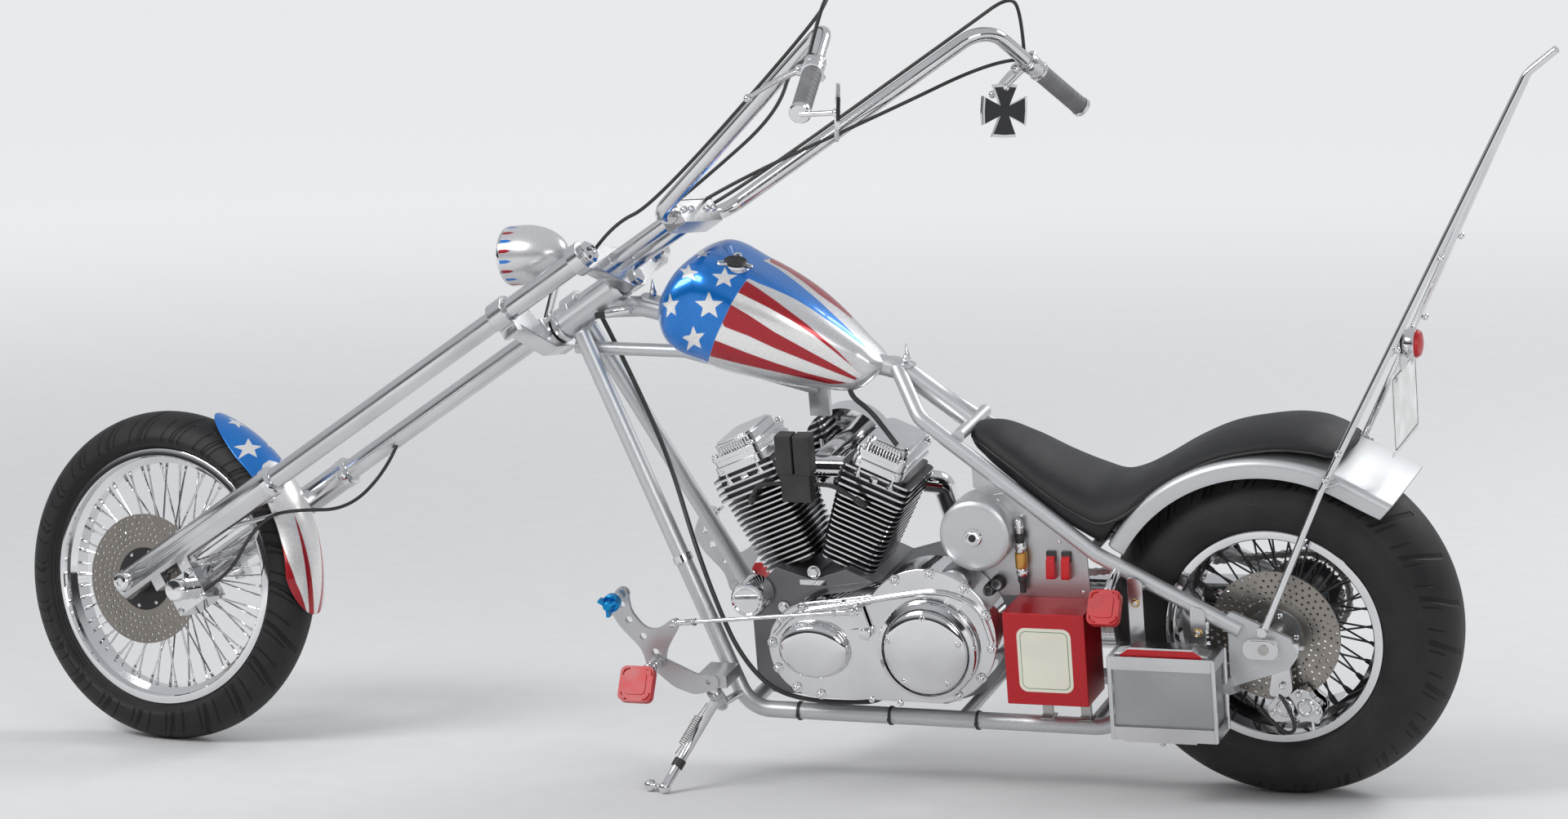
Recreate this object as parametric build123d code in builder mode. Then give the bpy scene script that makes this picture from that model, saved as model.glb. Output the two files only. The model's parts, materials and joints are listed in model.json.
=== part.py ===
"""Long rigid-frame chopper motorcycle with a finned V-twin, leaning on its side stand."""
import math
import os

from build123d import *

os.makedirs("parts", exist_ok=True)

# Bike frame in mm: X to the rear from the rear axle, Y to the right, Z up from the ground,
# upright and steered straight ahead. The whole is leaned, steered and set down at the end.

# Rest pose
lean = 9.288
steer = -16.03
steer_left_stop = 32.0
steer_right_stop = -32.0

# Wheels
rear_radius = 331.0
rear_half_width = 118.0
rear_crown = 130.0
rear_axle_height = rear_radius
rear_rim_radius = 205.5
rear_rim_half = 102.5
front_radius = 326.2
front_half_width = 62.0
front_crown = 62.0
front_rim_radius = 254.8
front_rim_half = 41.0
wheelbase = 2290.0
front_axle_height = 326.0
tyre_wall = 12.0
rim_wall = 4.0
spoke_count = 60
spoke_radius = 2.0
disc_thickness = 5.0
rear_disc_radius = 124.0
rear_disc_y = 93.5
front_disc_radius = 128.0
front_disc_n = 95.0
axle_radius = 10.0
axle_gap = 0.08

# Fork: t runs up the legs from the front axle, q to the rear and down, n to the right
rake = 56.3
rake_sin = math.sin(math.radians(rake))
rake_cos = math.cos(math.radians(rake))
axis_q = 53.0
leg_n = 134.0
leg_radius = 20.5
slider_radius = 28.5
slider_bottom = -26.0
slider_top = 385.0
lower_tree_t = 995.0
lower_tree_thick = 37.0
top_tree_t = 1202.0
top_tree_thick = 27.0
neck_bottom = 1036.0
neck_top = 1196.0
neck_radius = 24.0
stem_radius = 12.0
stem_gap = 0.08
bar_radius = 14.0

# Frame
backbone_radius = 20.0
brace_radius = 12.5
loop_radius = 16.0
stay_radius = 14.5
loop_y = 135.0
rail_height = 157.0
plate_y = 155.0

# Engine
primary_back = -104.0
primary_face = -190.0
crank_x = -890.0
crank_z = 290.0
cylinder_angle = 22.5
barrel_radius = 48.0
fin_count = 13
fin_pitch = 11.5
fin_thick = 3.5
fin_start = 148.0
head_start = 300.0
head_top = 352.0
rocker_top = 411.0

straight_fork = Plane(
    origin=(-wheelbase, 0, front_axle_height),
    x_dir=(rake_sin, 0, rake_cos),
    z_dir=(0, 1, 0),
)
rear_hub = Plane(origin=(0, 0, rear_axle_height), x_dir=(1, 0, 0), z_dir=(0, 1, 0))


def fork_point(t, q, n):
    """A point of the straight fork in bike coordinates."""
    return straight_fork.from_local_coords(Vector(t, q, n))


def rod(start, end, radius, mode=Mode.ADD):
    """Straight round bar between two points, in the open block."""
    span = Vector(*end) - Vector(*start)
    with BuildSketch(Plane(origin=start, z_dir=span)) as ring:
        Circle(radius)
    extrude(ring.sketch, amount=span.length, mode=mode)


def cone(start, end, start_radius, end_radius):
    """Tapered round bar between two points, in the open block."""
    span = Vector(*end) - Vector(*start)
    middle = (Vector(*start) + Vector(*end)) * 0.5
    with Locations(Plane(origin=middle, z_dir=span)):
        Cone(start_radius, end_radius, span.length)


def bent_tube(points, bend, radius):
    """Round tube along straight runs joined by arcs, in the open block."""
    with BuildLine() as path:
        FilletPolyline(*points, radius=bend)
    with BuildSketch(Plane(origin=points[0], z_dir=Vector(*points[1]) - Vector(*points[0]))) as ring:
        Circle(radius)
    sweep(ring.sketch, path=path.wires()[0])


def side_plate(points, y_from, y_to, mode=Mode.ADD, rounding=0):
    """Flat plate with an outline in X and Z between two widths, in the open block."""
    with BuildSketch(Plane(origin=(0, y_to, 0), x_dir=(1, 0, 0), z_dir=(0, -1, 0))) as outline:
        Polygon(*points, align=None)
        if rounding:
            fillet(outline.vertices(), radius=rounding)
    extrude(outline.sketch, amount=y_to - y_from, mode=mode)


def block(low, high, mode=Mode.ADD):
    """Box between two corners, in the open block."""
    middle = (Vector(*low) + Vector(*high)) * 0.5
    size = Vector(*high) - Vector(*low)
    with Locations(middle):
        Box(size.X, size.Y, size.Z, mode=mode)


def turned(profile, arc=360.0, start=0.0):
    """Turn a closed profile of (radius, width) points about the local Z axis."""
    with BuildSketch(Plane.XZ.rotated((0, 0, start))) as section:
        Polygon(*profile, align=None)
    revolve(section.sketch, axis=Axis.Z, revolution_arc=arc)


def tyre_section(radius, half, crown, rim_radius, rim_half):
    """Tyre wall section between crown, shoulders and beads, as one closed sketch."""
    shoulder = radius - crown + math.sqrt(crown**2 - (half - 2) ** 2)
    lower = rim_radius + 8
    bulge = (shoulder + lower) / 2
    waist = (half + rim_half) / 2
    over = rim_radius + 0.3
    inner = crown - tyre_wall
    inner_half = half - tyre_wall
    inner_shoulder = radius - crown + math.sqrt(max(inner**2 - inner_half**2, 0))
    seat = rim_radius - 14
    with BuildSketch(Plane.XZ) as section:
        with BuildLine():
            ThreePointArc((shoulder, -half + 2), (radius, 0), (shoulder, half - 2))
            ThreePointArc((shoulder, half - 2), (bulge, half), (lower, waist))
            Polyline((lower, waist), (over, rim_half - 2), (over, rim_half - 4.5),
                     (seat, rim_half - 4.5), (seat, rim_half - 4.5 - tyre_wall),
                     (rim_radius, rim_half - 4.5 - tyre_wall), (inner_shoulder, inner_half))
            ThreePointArc(
                (inner_shoulder, inner_half), (radius - tyre_wall, 0), (inner_shoulder, -inner_half)
            )
            Polyline((inner_shoulder, -inner_half), (rim_radius, -rim_half + 4.5 + tyre_wall),
                     (seat, -rim_half + 4.5 + tyre_wall), (seat, -rim_half + 4.5),
                     (over, -rim_half + 4.5), (over, -rim_half + 2), (lower, -waist))
            ThreePointArc((lower, -waist), (bulge, -half), (shoulder, -half + 2))
        make_face()
    return section


def rim_profile(rim_radius, rim_half):
    """Rolled rim section with two flanges and a drop centre."""
    seat = rim_radius - 14
    well = rim_radius - 28
    return [
        (rim_radius, rim_half),
        (rim_radius, rim_half - rim_wall),
        (seat, rim_half - rim_wall),
        (seat, rim_half * 0.5),
        (well, rim_half * 0.35),
        (well, -rim_half * 0.35),
        (seat, -rim_half * 0.5),
        (seat, -rim_half + rim_wall),
        (rim_radius, -rim_half + rim_wall),
        (rim_radius, -rim_half),
        (seat - rim_wall, -rim_half),
        (seat - rim_wall, -rim_half * 0.5),
        (well - rim_wall, -rim_half * 0.35 + 1),
        (well - rim_wall, rim_half * 0.35 - 1),
        (seat - rim_wall, rim_half * 0.5),
        (seat - rim_wall, rim_half),
    ]


def spokes(flange_radius, flange_half, rim_inner, rim_offset):
    """Two crossing rows of six-sided spokes from the hub flanges to the rim well."""
    for number in range(spoke_count):
        angle = 360.0 * number / spoke_count
        side = 1 if number % 2 else -1
        cross = 14.0 if number % 4 < 2 else -14.0
        depth = flange_half + (2.6 if cross > 0 else -2.6)
        hub_angle = math.radians(angle + cross)
        rim_angle = math.radians(angle)
        foot = Vector(
            flange_radius * math.cos(hub_angle), flange_radius * math.sin(hub_angle), side * depth
        )
        nipple = Vector(
            rim_inner * math.cos(rim_angle), rim_inner * math.sin(rim_angle), side * rim_offset
        )
        span = nipple - foot
        with BuildSketch(Plane(origin=foot, z_dir=span)) as hexagon:
            RegularPolygon(spoke_radius, 6)
        extrude(hexagon.sketch, amount=span.length)


# Front wheel, about its own axle

with BuildPart() as front_tyre:
    add(tyre_section(front_radius, front_half_width, front_crown, front_rim_radius,
                     front_rim_half).sketch)
    revolve(axis=Axis.Z)

with BuildPart() as front_wheel:
    turned(rim_profile(front_rim_radius, front_rim_half))
    spokes(34.0, 30.0, front_rim_radius - 31.0, 6.0)
    turned([(axle_radius + axle_gap, -60), (26, -60), (26, -38), (40, -38), (40, -24), (24, -18),
            (24, 18), (40, 24), (40, 38), (26, 38), (26, 60), (axle_radius + axle_gap, 60)])
    with BuildSketch(Plane.XY.offset(-front_disc_n - disc_thickness / 2)):
        Circle(front_disc_radius)
        Circle(axle_radius + axle_gap, mode=Mode.SUBTRACT)
    extrude(amount=disc_thickness)
    turned([(axle_radius + axle_gap, -96), (50, -96), (50, -88), (34, -60), (34, -50),
            (axle_radius + axle_gap, -50)])

# Rear wheel, about its own axle

with BuildPart() as rear_tyre:
    add(tyre_section(rear_radius, rear_half_width, rear_crown, rear_rim_radius,
                     rear_rim_half).sketch)
    revolve(axis=Axis.Z)

sprocket_radius = 78.0
sprocket_y = 128.0
with BuildPart() as rear_wheel:
    turned(rim_profile(rear_rim_radius, rear_rim_half))
    spokes(44.0, 52.0, rear_rim_radius - 31.0, 14.0)
    turned([(axle_radius + axle_gap, -rear_disc_y), (32, -rear_disc_y), (32, -60), (50, -60),
            (50, -44), (30, -36), (30, 36), (50, 44), (50, 60), (34, 60), (34, sprocket_y + 2),
            (axle_radius + axle_gap, sprocket_y + 2)])
    with BuildSketch(Plane.XY.offset(-rear_disc_y - disc_thickness / 2)):
        Circle(rear_disc_radius)
        Circle(axle_radius + axle_gap, mode=Mode.SUBTRACT)
    extrude(amount=disc_thickness)
    with BuildSketch(Plane.XY.offset(sprocket_y - 3)):
        Circle(sprocket_radius)
        Circle(axle_radius + axle_gap, mode=Mode.SUBTRACT)
        with PolarLocations(58, 6):
            Circle(14, mode=Mode.SUBTRACT)
    extrude(amount=6)

# Steered parts, in fork coordinates (t, q, n)

axle_end_n = leg_n + slider_radius + 12
with BuildPart() as front_axle:
    rod((0, 0, -axle_end_n), (0, 0, axle_end_n), axle_radius)
    for side in (-1, 1):
        rod((0, 0, side * axle_end_n), (0, 0, side * (leg_n + slider_radius)), 15.0)
        rod((0, 0, side * (leg_n + slider_radius)), (0, 0, side * (leg_n + slider_radius - 6)), 17.0)
        rod((0, 0, side * (leg_n - slider_radius)), (0, 0, side * 101), 14.0)
    rod((0, 0, 101), (0, 0, 61), 14.0)

with BuildPart() as fork_leg_left:
    rod((slider_bottom, 0, -leg_n), (slider_top, 0, -leg_n), slider_radius)
    rod((slider_top, 0, -leg_n), (slider_top + 8, 0, -leg_n), slider_radius - 3)
    rod((slider_top, 0, -leg_n), (top_tree_t + top_tree_thick + 6, 0, -leg_n), leg_radius)
    for lug_t in (46.0, 118.0):
        block((lug_t, 8, -leg_n - 16), (lug_t + 26, 50, -leg_n + 10))
    for lug_t in (205.0, 262.0):
        block((lug_t, -6, -leg_n + 20), (lug_t + 22, 14, -leg_n + 38))
    add(front_axle.part, mode=Mode.SUBTRACT)

with BuildPart() as fork_leg_right:
    add(fork_leg_left.part.mirror(Plane.XY))

with BuildPart() as lower_tree:
    with BuildSketch(Plane.YZ.offset(lower_tree_t)):
        with BuildLine():
            Polyline((-20, -leg_n), (-4, -70), (axis_q + 26, -34), (axis_q + 26, 34), (-4, 70),
                     (-20, leg_n), (30, leg_n), (axis_q + 34, 40), (axis_q + 34, -40),
                     (30, -leg_n), (-20, -leg_n))
        make_face()
        with Locations((0, -leg_n), (0, leg_n)):
            Circle(leg_radius + 10)
        with Locations((axis_q, 0)):
            Circle(34)
            Rectangle(60, 90)
        with Locations((30, -leg_n), (30, leg_n)):
            Rectangle(34, 18)
    extrude(amount=lower_tree_thick)
    rod((lower_tree_t, axis_q, 0), (top_tree_t + top_tree_thick + 10, axis_q, 0), stem_radius)
    for leg in (fork_leg_left, fork_leg_right):
        add(leg.part, mode=Mode.SUBTRACT)

riser_q = 16.0
riser_n = 44.0
bar_t = 1393.0
bar_q = 18.0
with BuildPart() as handlebar:
    bent_tube(
        [(1959, 139, -557), (1974, -34, -312), (bar_t, bar_q, -126), (bar_t, bar_q, 126),
         (1974, -34, 312), (1959, 139, 557)], 60, bar_radius)

with BuildPart() as top_tree:
    with BuildSketch(Plane.YZ.offset(top_tree_t)):
        with BuildLine():
            Polyline((-22, -leg_n), (-22, -60), (-12, -30), (-12, 30), (-22, 60), (-22, leg_n),
                     (20, leg_n), (axis_q + 19, 21), (axis_q + 19, -21), (20, -leg_n),
                     (-22, -leg_n))
        make_face()
        with Locations((0, -leg_n), (0, leg_n)):
            Circle(leg_radius + 10)
    extrude(amount=top_tree_thick)
    for side in (-1, 1):
        rod((top_tree_t + top_tree_thick, riser_q, side * riser_n),
            (bar_t - 12, riser_q, side * riser_n), 15.0)
    block((bar_t - 22, bar_q - 26, -70), (bar_t + 22, bar_q + 26, 70))
    for blocker in (fork_leg_left, fork_leg_right, lower_tree, handlebar):
        add(blocker.part, mode=Mode.SUBTRACT)

grip_start = Vector(1974, -34, 312) + (Vector(1959, 139, 557) - Vector(1974, -34, 312)) * 0.56
grip_end = Vector(1959, 139, 557)
grip_dir = (grip_end - grip_start).normalized()
with BuildPart() as grips:
    rod(grip_start, grip_end + grip_dir * 6, 19.0)
    add(handlebar.part, mode=Mode.SUBTRACT)
    mirror(about=Plane.XY)

perch_start = grip_start - grip_dir * 42
with BuildPart() as hand_controls:
    rod(perch_start, grip_start - grip_dir * 2, 20.0)
    lever_root = perch_start + grip_dir * 14 + Vector(-30, -8, 0)
    lever_tip = Vector(1846, 40, 478)
    lever_dir = (lever_tip - lever_root).normalized()
    rod(perch_start + grip_dir * 14, lever_root - Vector(-30, -8, 0).normalized() * 2, 10.0)
    cone(lever_root, lever_tip, 9.0, 6.0)
    with Locations(Plane(origin=lever_root, z_dir=lever_dir)):
        Sphere(11)
    with Locations(Plane(origin=lever_tip, z_dir=lever_dir)):
        Sphere(8)
    add(handlebar.part, mode=Mode.SUBTRACT)
    mirror(about=Plane.XY)

headlight_back = Vector(1126, -64, 0)
light_dir = Vector(-0.885, -0.465, 0).normalized()
light_radius = 58.0
light_length = 132.0
light_plane = Plane(origin=headlight_back, x_dir=(0, 0, 1), z_dir=light_dir)
with BuildPart() as headlight:
    with BuildSketch(Plane(origin=light_plane.origin, x_dir=light_plane.x_dir,
                           z_dir=light_plane.y_dir * -1)):
        with BuildLine():
            ThreePointArc((0, 0), (44, 34), (light_radius, 92))
            Polyline((light_radius, 92), (light_radius, light_length),
                     (light_radius - 5, light_length), (light_radius - 5, light_length - 18),
                     (16, 60), (0, 60), (0, 0))
        make_face()
    revolve(axis=Axis(headlight_back, light_dir))
    post = headlight_back + light_dir * 50
    rod(post + Vector(10, 44, 0), Vector(1012, axis_q - 26, 0), 8.0)
    add(lower_tree.part, mode=Mode.SUBTRACT)

with BuildPart() as headlight_lens:
    lens_face = headlight_back + light_dir * (light_length - 14)
    rod(lens_face, lens_face + light_dir * 10, light_radius - 5)
    add(headlight.part, mode=Mode.SUBTRACT)

# Cross-shaped mirrors, turned in towards the rider: stem start, stem end, centre and side
mirror_half = 50.0
mirror_waist = 11.0
mirror_flare = 28.0
mirror_turn = math.radians(30)
mirror_places = [
    (grip_end + Vector(0, 4, -2 - 2 * grip_end.Z), Vector(2022, 179, -563), Vector(2024, 180, -564), -1),
    (perch_start + grip_dir * 12, Vector(1902, 58, 420), Vector(1875, 94, 420), 1),
]
with BuildPart() as mirrors:
    for stem_start, stem_end, centre, side in mirror_places:
        rod(stem_start, stem_end, 5.0)
        facing = Vector(rake_sin * math.cos(mirror_turn), rake_cos * math.cos(mirror_turn),
                        -side * math.sin(mirror_turn))
        with BuildSketch(Plane(origin=centre, x_dir=(rake_cos, -rake_sin, 0), z_dir=facing)) as cross:
            Polygon((mirror_half, -mirror_flare), (mirror_half, mirror_flare),
                    (mirror_waist, mirror_waist), (mirror_flare, mirror_half),
                    (-mirror_flare, mirror_half), (-mirror_waist, mirror_waist),
                    (-mirror_half, mirror_flare), (-mirror_half, -mirror_flare),
                    (-mirror_waist, -mirror_waist), (-mirror_flare, -mirror_half),
                    (mirror_flare, -mirror_half), (mirror_waist, -mirror_waist), align=None)
        extrude(cross.sketch, amount=3, both=True)
    for holder in (grips, hand_controls, handlebar):
        add(holder.part, mode=Mode.SUBTRACT)

fender_inner = front_radius + 14
fender_half = 66.0
with BuildPart() as front_fender:
    with BuildSketch(Plane.XZ.rotated((0, 0, -39))):
        with BuildLine():
            ThreePointArc((fender_inner - 26, -fender_half), (fender_inner + 4, 0),
                          (fender_inner - 26, fender_half))
            Line((fender_inner - 26, fender_half), (fender_inner - 29, fender_half - 1))
            ThreePointArc((fender_inner - 29, fender_half - 1), (fender_inner, 0),
                          (fender_inner - 29, -fender_half + 1))
            Line((fender_inner - 29, -fender_half + 1), (fender_inner - 26, -fender_half))
        make_face()
    revolve(axis=Axis.Z, revolution_arc=82)
    for tip_angle, tip_sense, tip_length in ((-39, -1, 74.0), (43, 1, 58.0)):
        tip_start = math.radians(tip_angle) - tip_sense * tip_length / fender_inner
        tip_out = Vector(math.cos(tip_start), math.sin(tip_start), 0)
        with BuildSketch(Plane(origin=tip_out * fender_inner, z_dir=tip_out,
                               x_dir=(-tip_sense * tip_out.Y, tip_sense * tip_out.X, 0))) as ears:
            Rectangle(2 * tip_length, 4 * fender_half, align=(Align.MIN, Align.CENTER))
            Ellipse(tip_length, fender_half + 1, mode=Mode.SUBTRACT)
        extrude(ears.sketch, amount=90, both=True, mode=Mode.SUBTRACT)
    for side in (-1, 1):
        rod((222, 14, side * (leg_n - 8)), (316, 40, side * (fender_half - 2)), 5.0)
        rod((262, 8, side * (leg_n - 8)), (324, 8, side * (fender_half - 3)), 5.0)
    for leg in (fork_leg_left, fork_leg_right):
        add(leg.part, mode=Mode.SUBTRACT)
front_fender_solid = front_fender.part.solids().sort_by(SortBy.VOLUME)[-1]

caliper_t = 100.0
caliper_q = 62.0
with BuildPart() as front_caliper:
    block((caliper_t - 36, caliper_q - 14, -leg_n - 10), (caliper_t + 40, caliper_q + 56, -80))
    rod((0, 0, -front_disc_n - 8), (0, 0, -front_disc_n + 8), front_disc_radius + 5,
        mode=Mode.SUBTRACT)
    rod((caliper_t + 4, caliper_q + 16, -leg_n - 10), (caliper_t + 4, caliper_q + 16, -172), 21.0)
    add(fork_leg_left.part, mode=Mode.SUBTRACT)

# Held cables and hose of the fork: route points and bend radius
hose_radius = 3.5
tree_face = top_tree_t + top_tree_thick
with BuildPart() as control_cables:
    bent_tube([perch_start + Vector(-5, -8, -2 * perch_start.Z - 12), (2018, -42, -396),
               (2028, -66, -352), (1952, -52, -305), (1402, -2, -129), (1300, -24, -112),
               (tree_face - 2, -8, -94)], 14, hose_radius)
    bent_tube([(1955, 30, -418), (1918, 8, -392), (1753, 18, -211), (1500, -2, -75),
               (bar_t + 18, -4, -52)], 14, hose_radius)
    mirror(about=Plane.XY)
    bent_tube([(caliper_t + 34, caliper_q + 34, -122), (200, 98, -120), (262, 64, -118),
               (330, 46, -112), (376, 62, -84), (430, 100, 0), (493, 52, 98), (524, 12, 128)],
              14, hose_radius)
    for holder in (handlebar, hand_controls, top_tree, front_caliper, fork_leg_left,
                   fork_leg_right):
        add(holder.part, mode=Mode.SUBTRACT)

# Frame, in bike coordinates

neck_axis_low = fork_point(neck_bottom, axis_q, 0)
neck_axis_high = fork_point(neck_top, axis_q, 0)
neck_middle = (neck_axis_low + neck_axis_high) * 0.5
backbone_end = (-588, 0, 700)
with BuildPart() as frame_spine:
    rod(neck_axis_low, neck_axis_high, neck_radius)
    bent_tube([neck_middle, (-1225, 0, 906), (-712, 0, 792), backbone_end], 60, backbone_radius)
    bent_tube([(-1370, 0, 822), (-1150, 0, 819), (-885, 0, 752)], 60, brace_radius)
    block((-905, -6, 700), (-865, 6, 822))
    rod((-588, -82, 692), (-588, 82, 692), 12.0)
    rod((-1018, -loop_y, rail_height + 12), (-1018, loop_y, rail_height + 12), 14.0)
    rod((-600, -loop_y, rail_height), (-600, loop_y, rail_height), 12.0)
    rod((-345, -loop_y, rail_height - 1), (-345, loop_y, rail_height - 1), 12.0)
    rod((-330, -128, 495), (-330, 128, 495), 10.0)
    rod(neck_axis_low, neck_axis_high, stem_radius + stem_gap, mode=Mode.SUBTRACT)

with BuildPart() as rear_axle:
    rod((0, -plate_y - 22, rear_axle_height), (0, plate_y + 22, rear_axle_height), axle_radius)
    for side in (-1, 1):
        rod((0, side * (plate_y + 5), rear_axle_height),
            (0, side * (plate_y + 17), rear_axle_height), 17.0)
        rod((0, side * (plate_y - 5), rear_axle_height),
            (0, side * (sprocket_y + 4), rear_axle_height), 16.0)
    rod((0, -sprocket_y - 4, rear_axle_height), (0, -rear_disc_y - 5, rear_axle_height), 16.0)

with BuildPart() as frame_loop_left:
    bent_tube([(-1349, -22, 858), (-1024, -loop_y, rail_height), (-328, -loop_y, rail_height - 4),
               (-60, -plate_y - 5, 258)], 70, loop_radius)
    bent_tube([(-722, -12, 800), (-664, -72, 722), (-318, -130, 487), (-44, -plate_y - 4, 362)],
              50, stay_radius)
    side_plate([(-69, 252), (42, 290), (62, 318), (48, 350), (-69, 400)], -plate_y - 5,
               -plate_y + 5, rounding=8)
    add(frame_spine.part, mode=Mode.SUBTRACT)
    add(rear_axle.part, mode=Mode.SUBTRACT)

with BuildPart() as frame_loop_right:
    add(frame_loop_left.part.mirror(Plane.XZ))

# Tank and seat

# Stations of the tank: x, top, bottom, half width
tank_stations = [
    (-1166, 944, 902, 24),
    (-1140, 998, 862, 74),
    (-1080, 1034, 832, 108),
    (-985, 1014, 800, 116),
    (-870, 946, 778, 92),
    (-780, 862, 774, 52),
    (-732, 806, 782, 20),
]
with BuildPart() as fuel_tank:
    for x, top, bottom, half in tank_stations:
        with BuildSketch(Plane(origin=(x, 0, (top + bottom) / 2), x_dir=(0, 1, 0),
                               z_dir=(1, 0, 0))):
            Ellipse(half, (top - bottom) / 2)
    loft()
    side_plate([(-1240, 906), (-1225, 906), (-712, 792), (-690, 787), (-690, 650), (-1240, 650)],
               -backbone_radius, backbone_radius, mode=Mode.SUBTRACT)
    for spike_x, slab in ((-1204, [(-1228, 925), (-1228, 931), (-1154, 915), (-1154, 909)]),
                          (-706, [(-742, 813), (-742, 819), (-692, 804), (-692, 798)])):
        side_plate(slab, -17, 17)
        spike_z = slab[1][1] - (spike_x - slab[1][0]) * 0.26
        rod((spike_x, 0, spike_z - 3), (spike_x, 0, spike_z + 6), 8.0)
        cone((spike_x, 0, spike_z + 6), (spike_x, 0, spike_z + 34), 6.0, 1.0)
    for blocker in (frame_spine, frame_loop_left, frame_loop_right):
        add(blocker.part, mode=Mode.SUBTRACT)

with BuildPart() as fuel_cap:
    rod((-1015, -46, 990), (-1017, -49, 1030), 27.0)
    add(fuel_tank.part, mode=Mode.SUBTRACT)
fuel_cap_solid = fuel_cap.part.solids().sort_by(Axis.Z)[-1]

# Rear fender, about the rear axle

rear_fender_half = 126.0
with BuildPart() as rear_fender:
    with BuildSketch(Plane.XZ.rotated((0, 0, 210))):
        with BuildLine():
            Line((314, -rear_fender_half), (344, -rear_fender_half))
            ThreePointArc((344, -rear_fender_half), (354, 0), (344, rear_fender_half))
            Line((344, rear_fender_half), (314, rear_fender_half))
            Line((314, rear_fender_half), (314, rear_fender_half - 3))
            Line((314, rear_fender_half - 3), (341, rear_fender_half - 3))
            ThreePointArc((341, rear_fender_half - 3), (351, 0), (341, -rear_fender_half + 3))
            Line((341, -rear_fender_half + 3), (314, -rear_fender_half + 3))
            Line((314, -rear_fender_half + 3), (314, -rear_fender_half))
        make_face()
    revolve(axis=Axis.Z, revolution_arc=102)
rear_fender_placed = rear_hub.location * rear_fender.part

with BuildPart() as rear_fender_part:
    add(rear_fender_placed)
    for side in (-1, 1):
        block((-330, side * 60 - 12, 497), (-296, side * 60 + 12, 505))
    add(frame_spine.part, mode=Mode.SUBTRACT)
    add(frame_loop_left.part, mode=Mode.SUBTRACT)
    add(frame_loop_right.part, mode=Mode.SUBTRACT)

with BuildPart() as seat:
    with BuildSketch(Plane(origin=(0, 140, 0), x_dir=(1, 0, 0), z_dir=(0, -1, 0))):
        with BuildLine():
            Spline((-588, 705), (-546, 710), (-415, 656), (-310, 620), (-226, 653), (-100, 718),
                   (42, 740), (125, 718), (140, 680))
            Polyline((140, 680), (60, 690), (-80, 660), (-200, 600), (-290, 500), (-400, 560),
                     (-560, 660), (-588, 705))
        make_face()
    extrude(amount=280)
    with BuildSketch(Plane.XY.offset(400), mode=Mode.PRIVATE) as seat_plan:
        with BuildLine():
            Spline((-592, 0), (-560, -46), (-440, -90), (-320, -126), (-180, -112), (60, -108),
                   (120, -90), (144, 0))
            Spline((144, 0), (120, 90), (60, 108), (-180, 112), (-320, 126), (-440, 90),
                   (-560, 46), (-592, 0))
        make_face()
    extrude(seat_plan.sketch, amount=400, mode=Mode.INTERSECT)
    add(rear_hub.location * Cylinder(354, 400, mode=Mode.PRIVATE), mode=Mode.SUBTRACT)
    for blocker in (rear_fender_part, frame_spine, frame_loop_left, frame_loop_right):
        add(blocker.part, mode=Mode.SUBTRACT)

# Sissy bar, lamp and plate

lamp_x = 234.0
lamp_z = 865.0
with BuildPart() as sissy_bar:
    for side in (-1, 1):
        bent_tube([(0, side * 170, 362), (118, side * 152, 633), (490, side * 12, 1370),
                   (543, side * 4, 1412)], 40, 7.0)
        rod((140, side * (rear_fender_half + 0.5), 640), (122, side * 150, 640), 7.0)
        rod((0, side * 170, 366), (-2, side * (plate_y + 5), 366), 9.0)
    rod((lamp_x, -108, lamp_z), (lamp_x, 108, lamp_z), 6.0)
    add(rear_fender_part.part, mode=Mode.SUBTRACT)
    for blocker in (frame_loop_left, frame_loop_right):
        add(blocker.part, mode=Mode.SUBTRACT)
sissy_bar_solid = sissy_bar.part.solids().sort_by(SortBy.VOLUME)[-1]

with BuildPart() as number_plate:
    block((lamp_x + 6, -90, 685), (lamp_x + 8, 90, 828))
    block((lamp_x + 6, -25, 820), (lamp_x + 9, 25, lamp_z + 30))
    add(sissy_bar.part, mode=Mode.SUBTRACT)

with BuildPart() as tail_lamp:
    rod((lamp_x + 9, 0, lamp_z + 2), (lamp_x + 46, 0, lamp_z + 2), 28.0)

# Engine

front_bore = Plane(
    origin=(crank_x, 0, crank_z),
    x_dir=(0, 1, 0),
    z_dir=(-math.sin(math.radians(cylinder_angle)), 0, math.cos(math.radians(cylinder_angle))),
)
rear_bore = Plane(
    origin=(crank_x, 0, crank_z),
    x_dir=(0, 1, 0),
    z_dir=(math.sin(math.radians(cylinder_angle)), 0, math.cos(math.radians(cylinder_angle))),
)
bores = (front_bore, rear_bore)

with BuildPart() as crankcase:
    side_plate([(-1015, 215), (-985, 180), (-640, 172), (-560, 200), (-540, 300), (-560, 400),
                (-640, 440), (-760, 404), (-820, 430), (-890, 408), (-960, 430), (-1015, 380)],
               primary_back, 112, rounding=6)
    block((-1026, -30, rail_height + 22), (-985, 30, 260))
    rod((crank_x + 16, 110, 300), (crank_x + 16, 134, 300), 90.0)
    add(frame_spine.part, mode=Mode.SUBTRACT)

with BuildPart() as cylinders:
    for bore in bores:
        with BuildSketch(bore.offset(fin_start - 12)):
            Circle(barrel_radius)
        extrude(amount=head_start - fin_start + 12)
        for number in range(fin_count):
            share = number / (fin_count - 1)
            with BuildSketch(bore.offset(fin_start + number * fin_pitch)):
                RectangleRounded(150, 112 + 24 * share, 22)
            extrude(amount=fin_thick)
    block((crank_x - 3, -90, 380), (crank_x + 3, 90, 640), mode=Mode.SUBTRACT)
    add(crankcase.part, mode=Mode.SUBTRACT)

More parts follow.
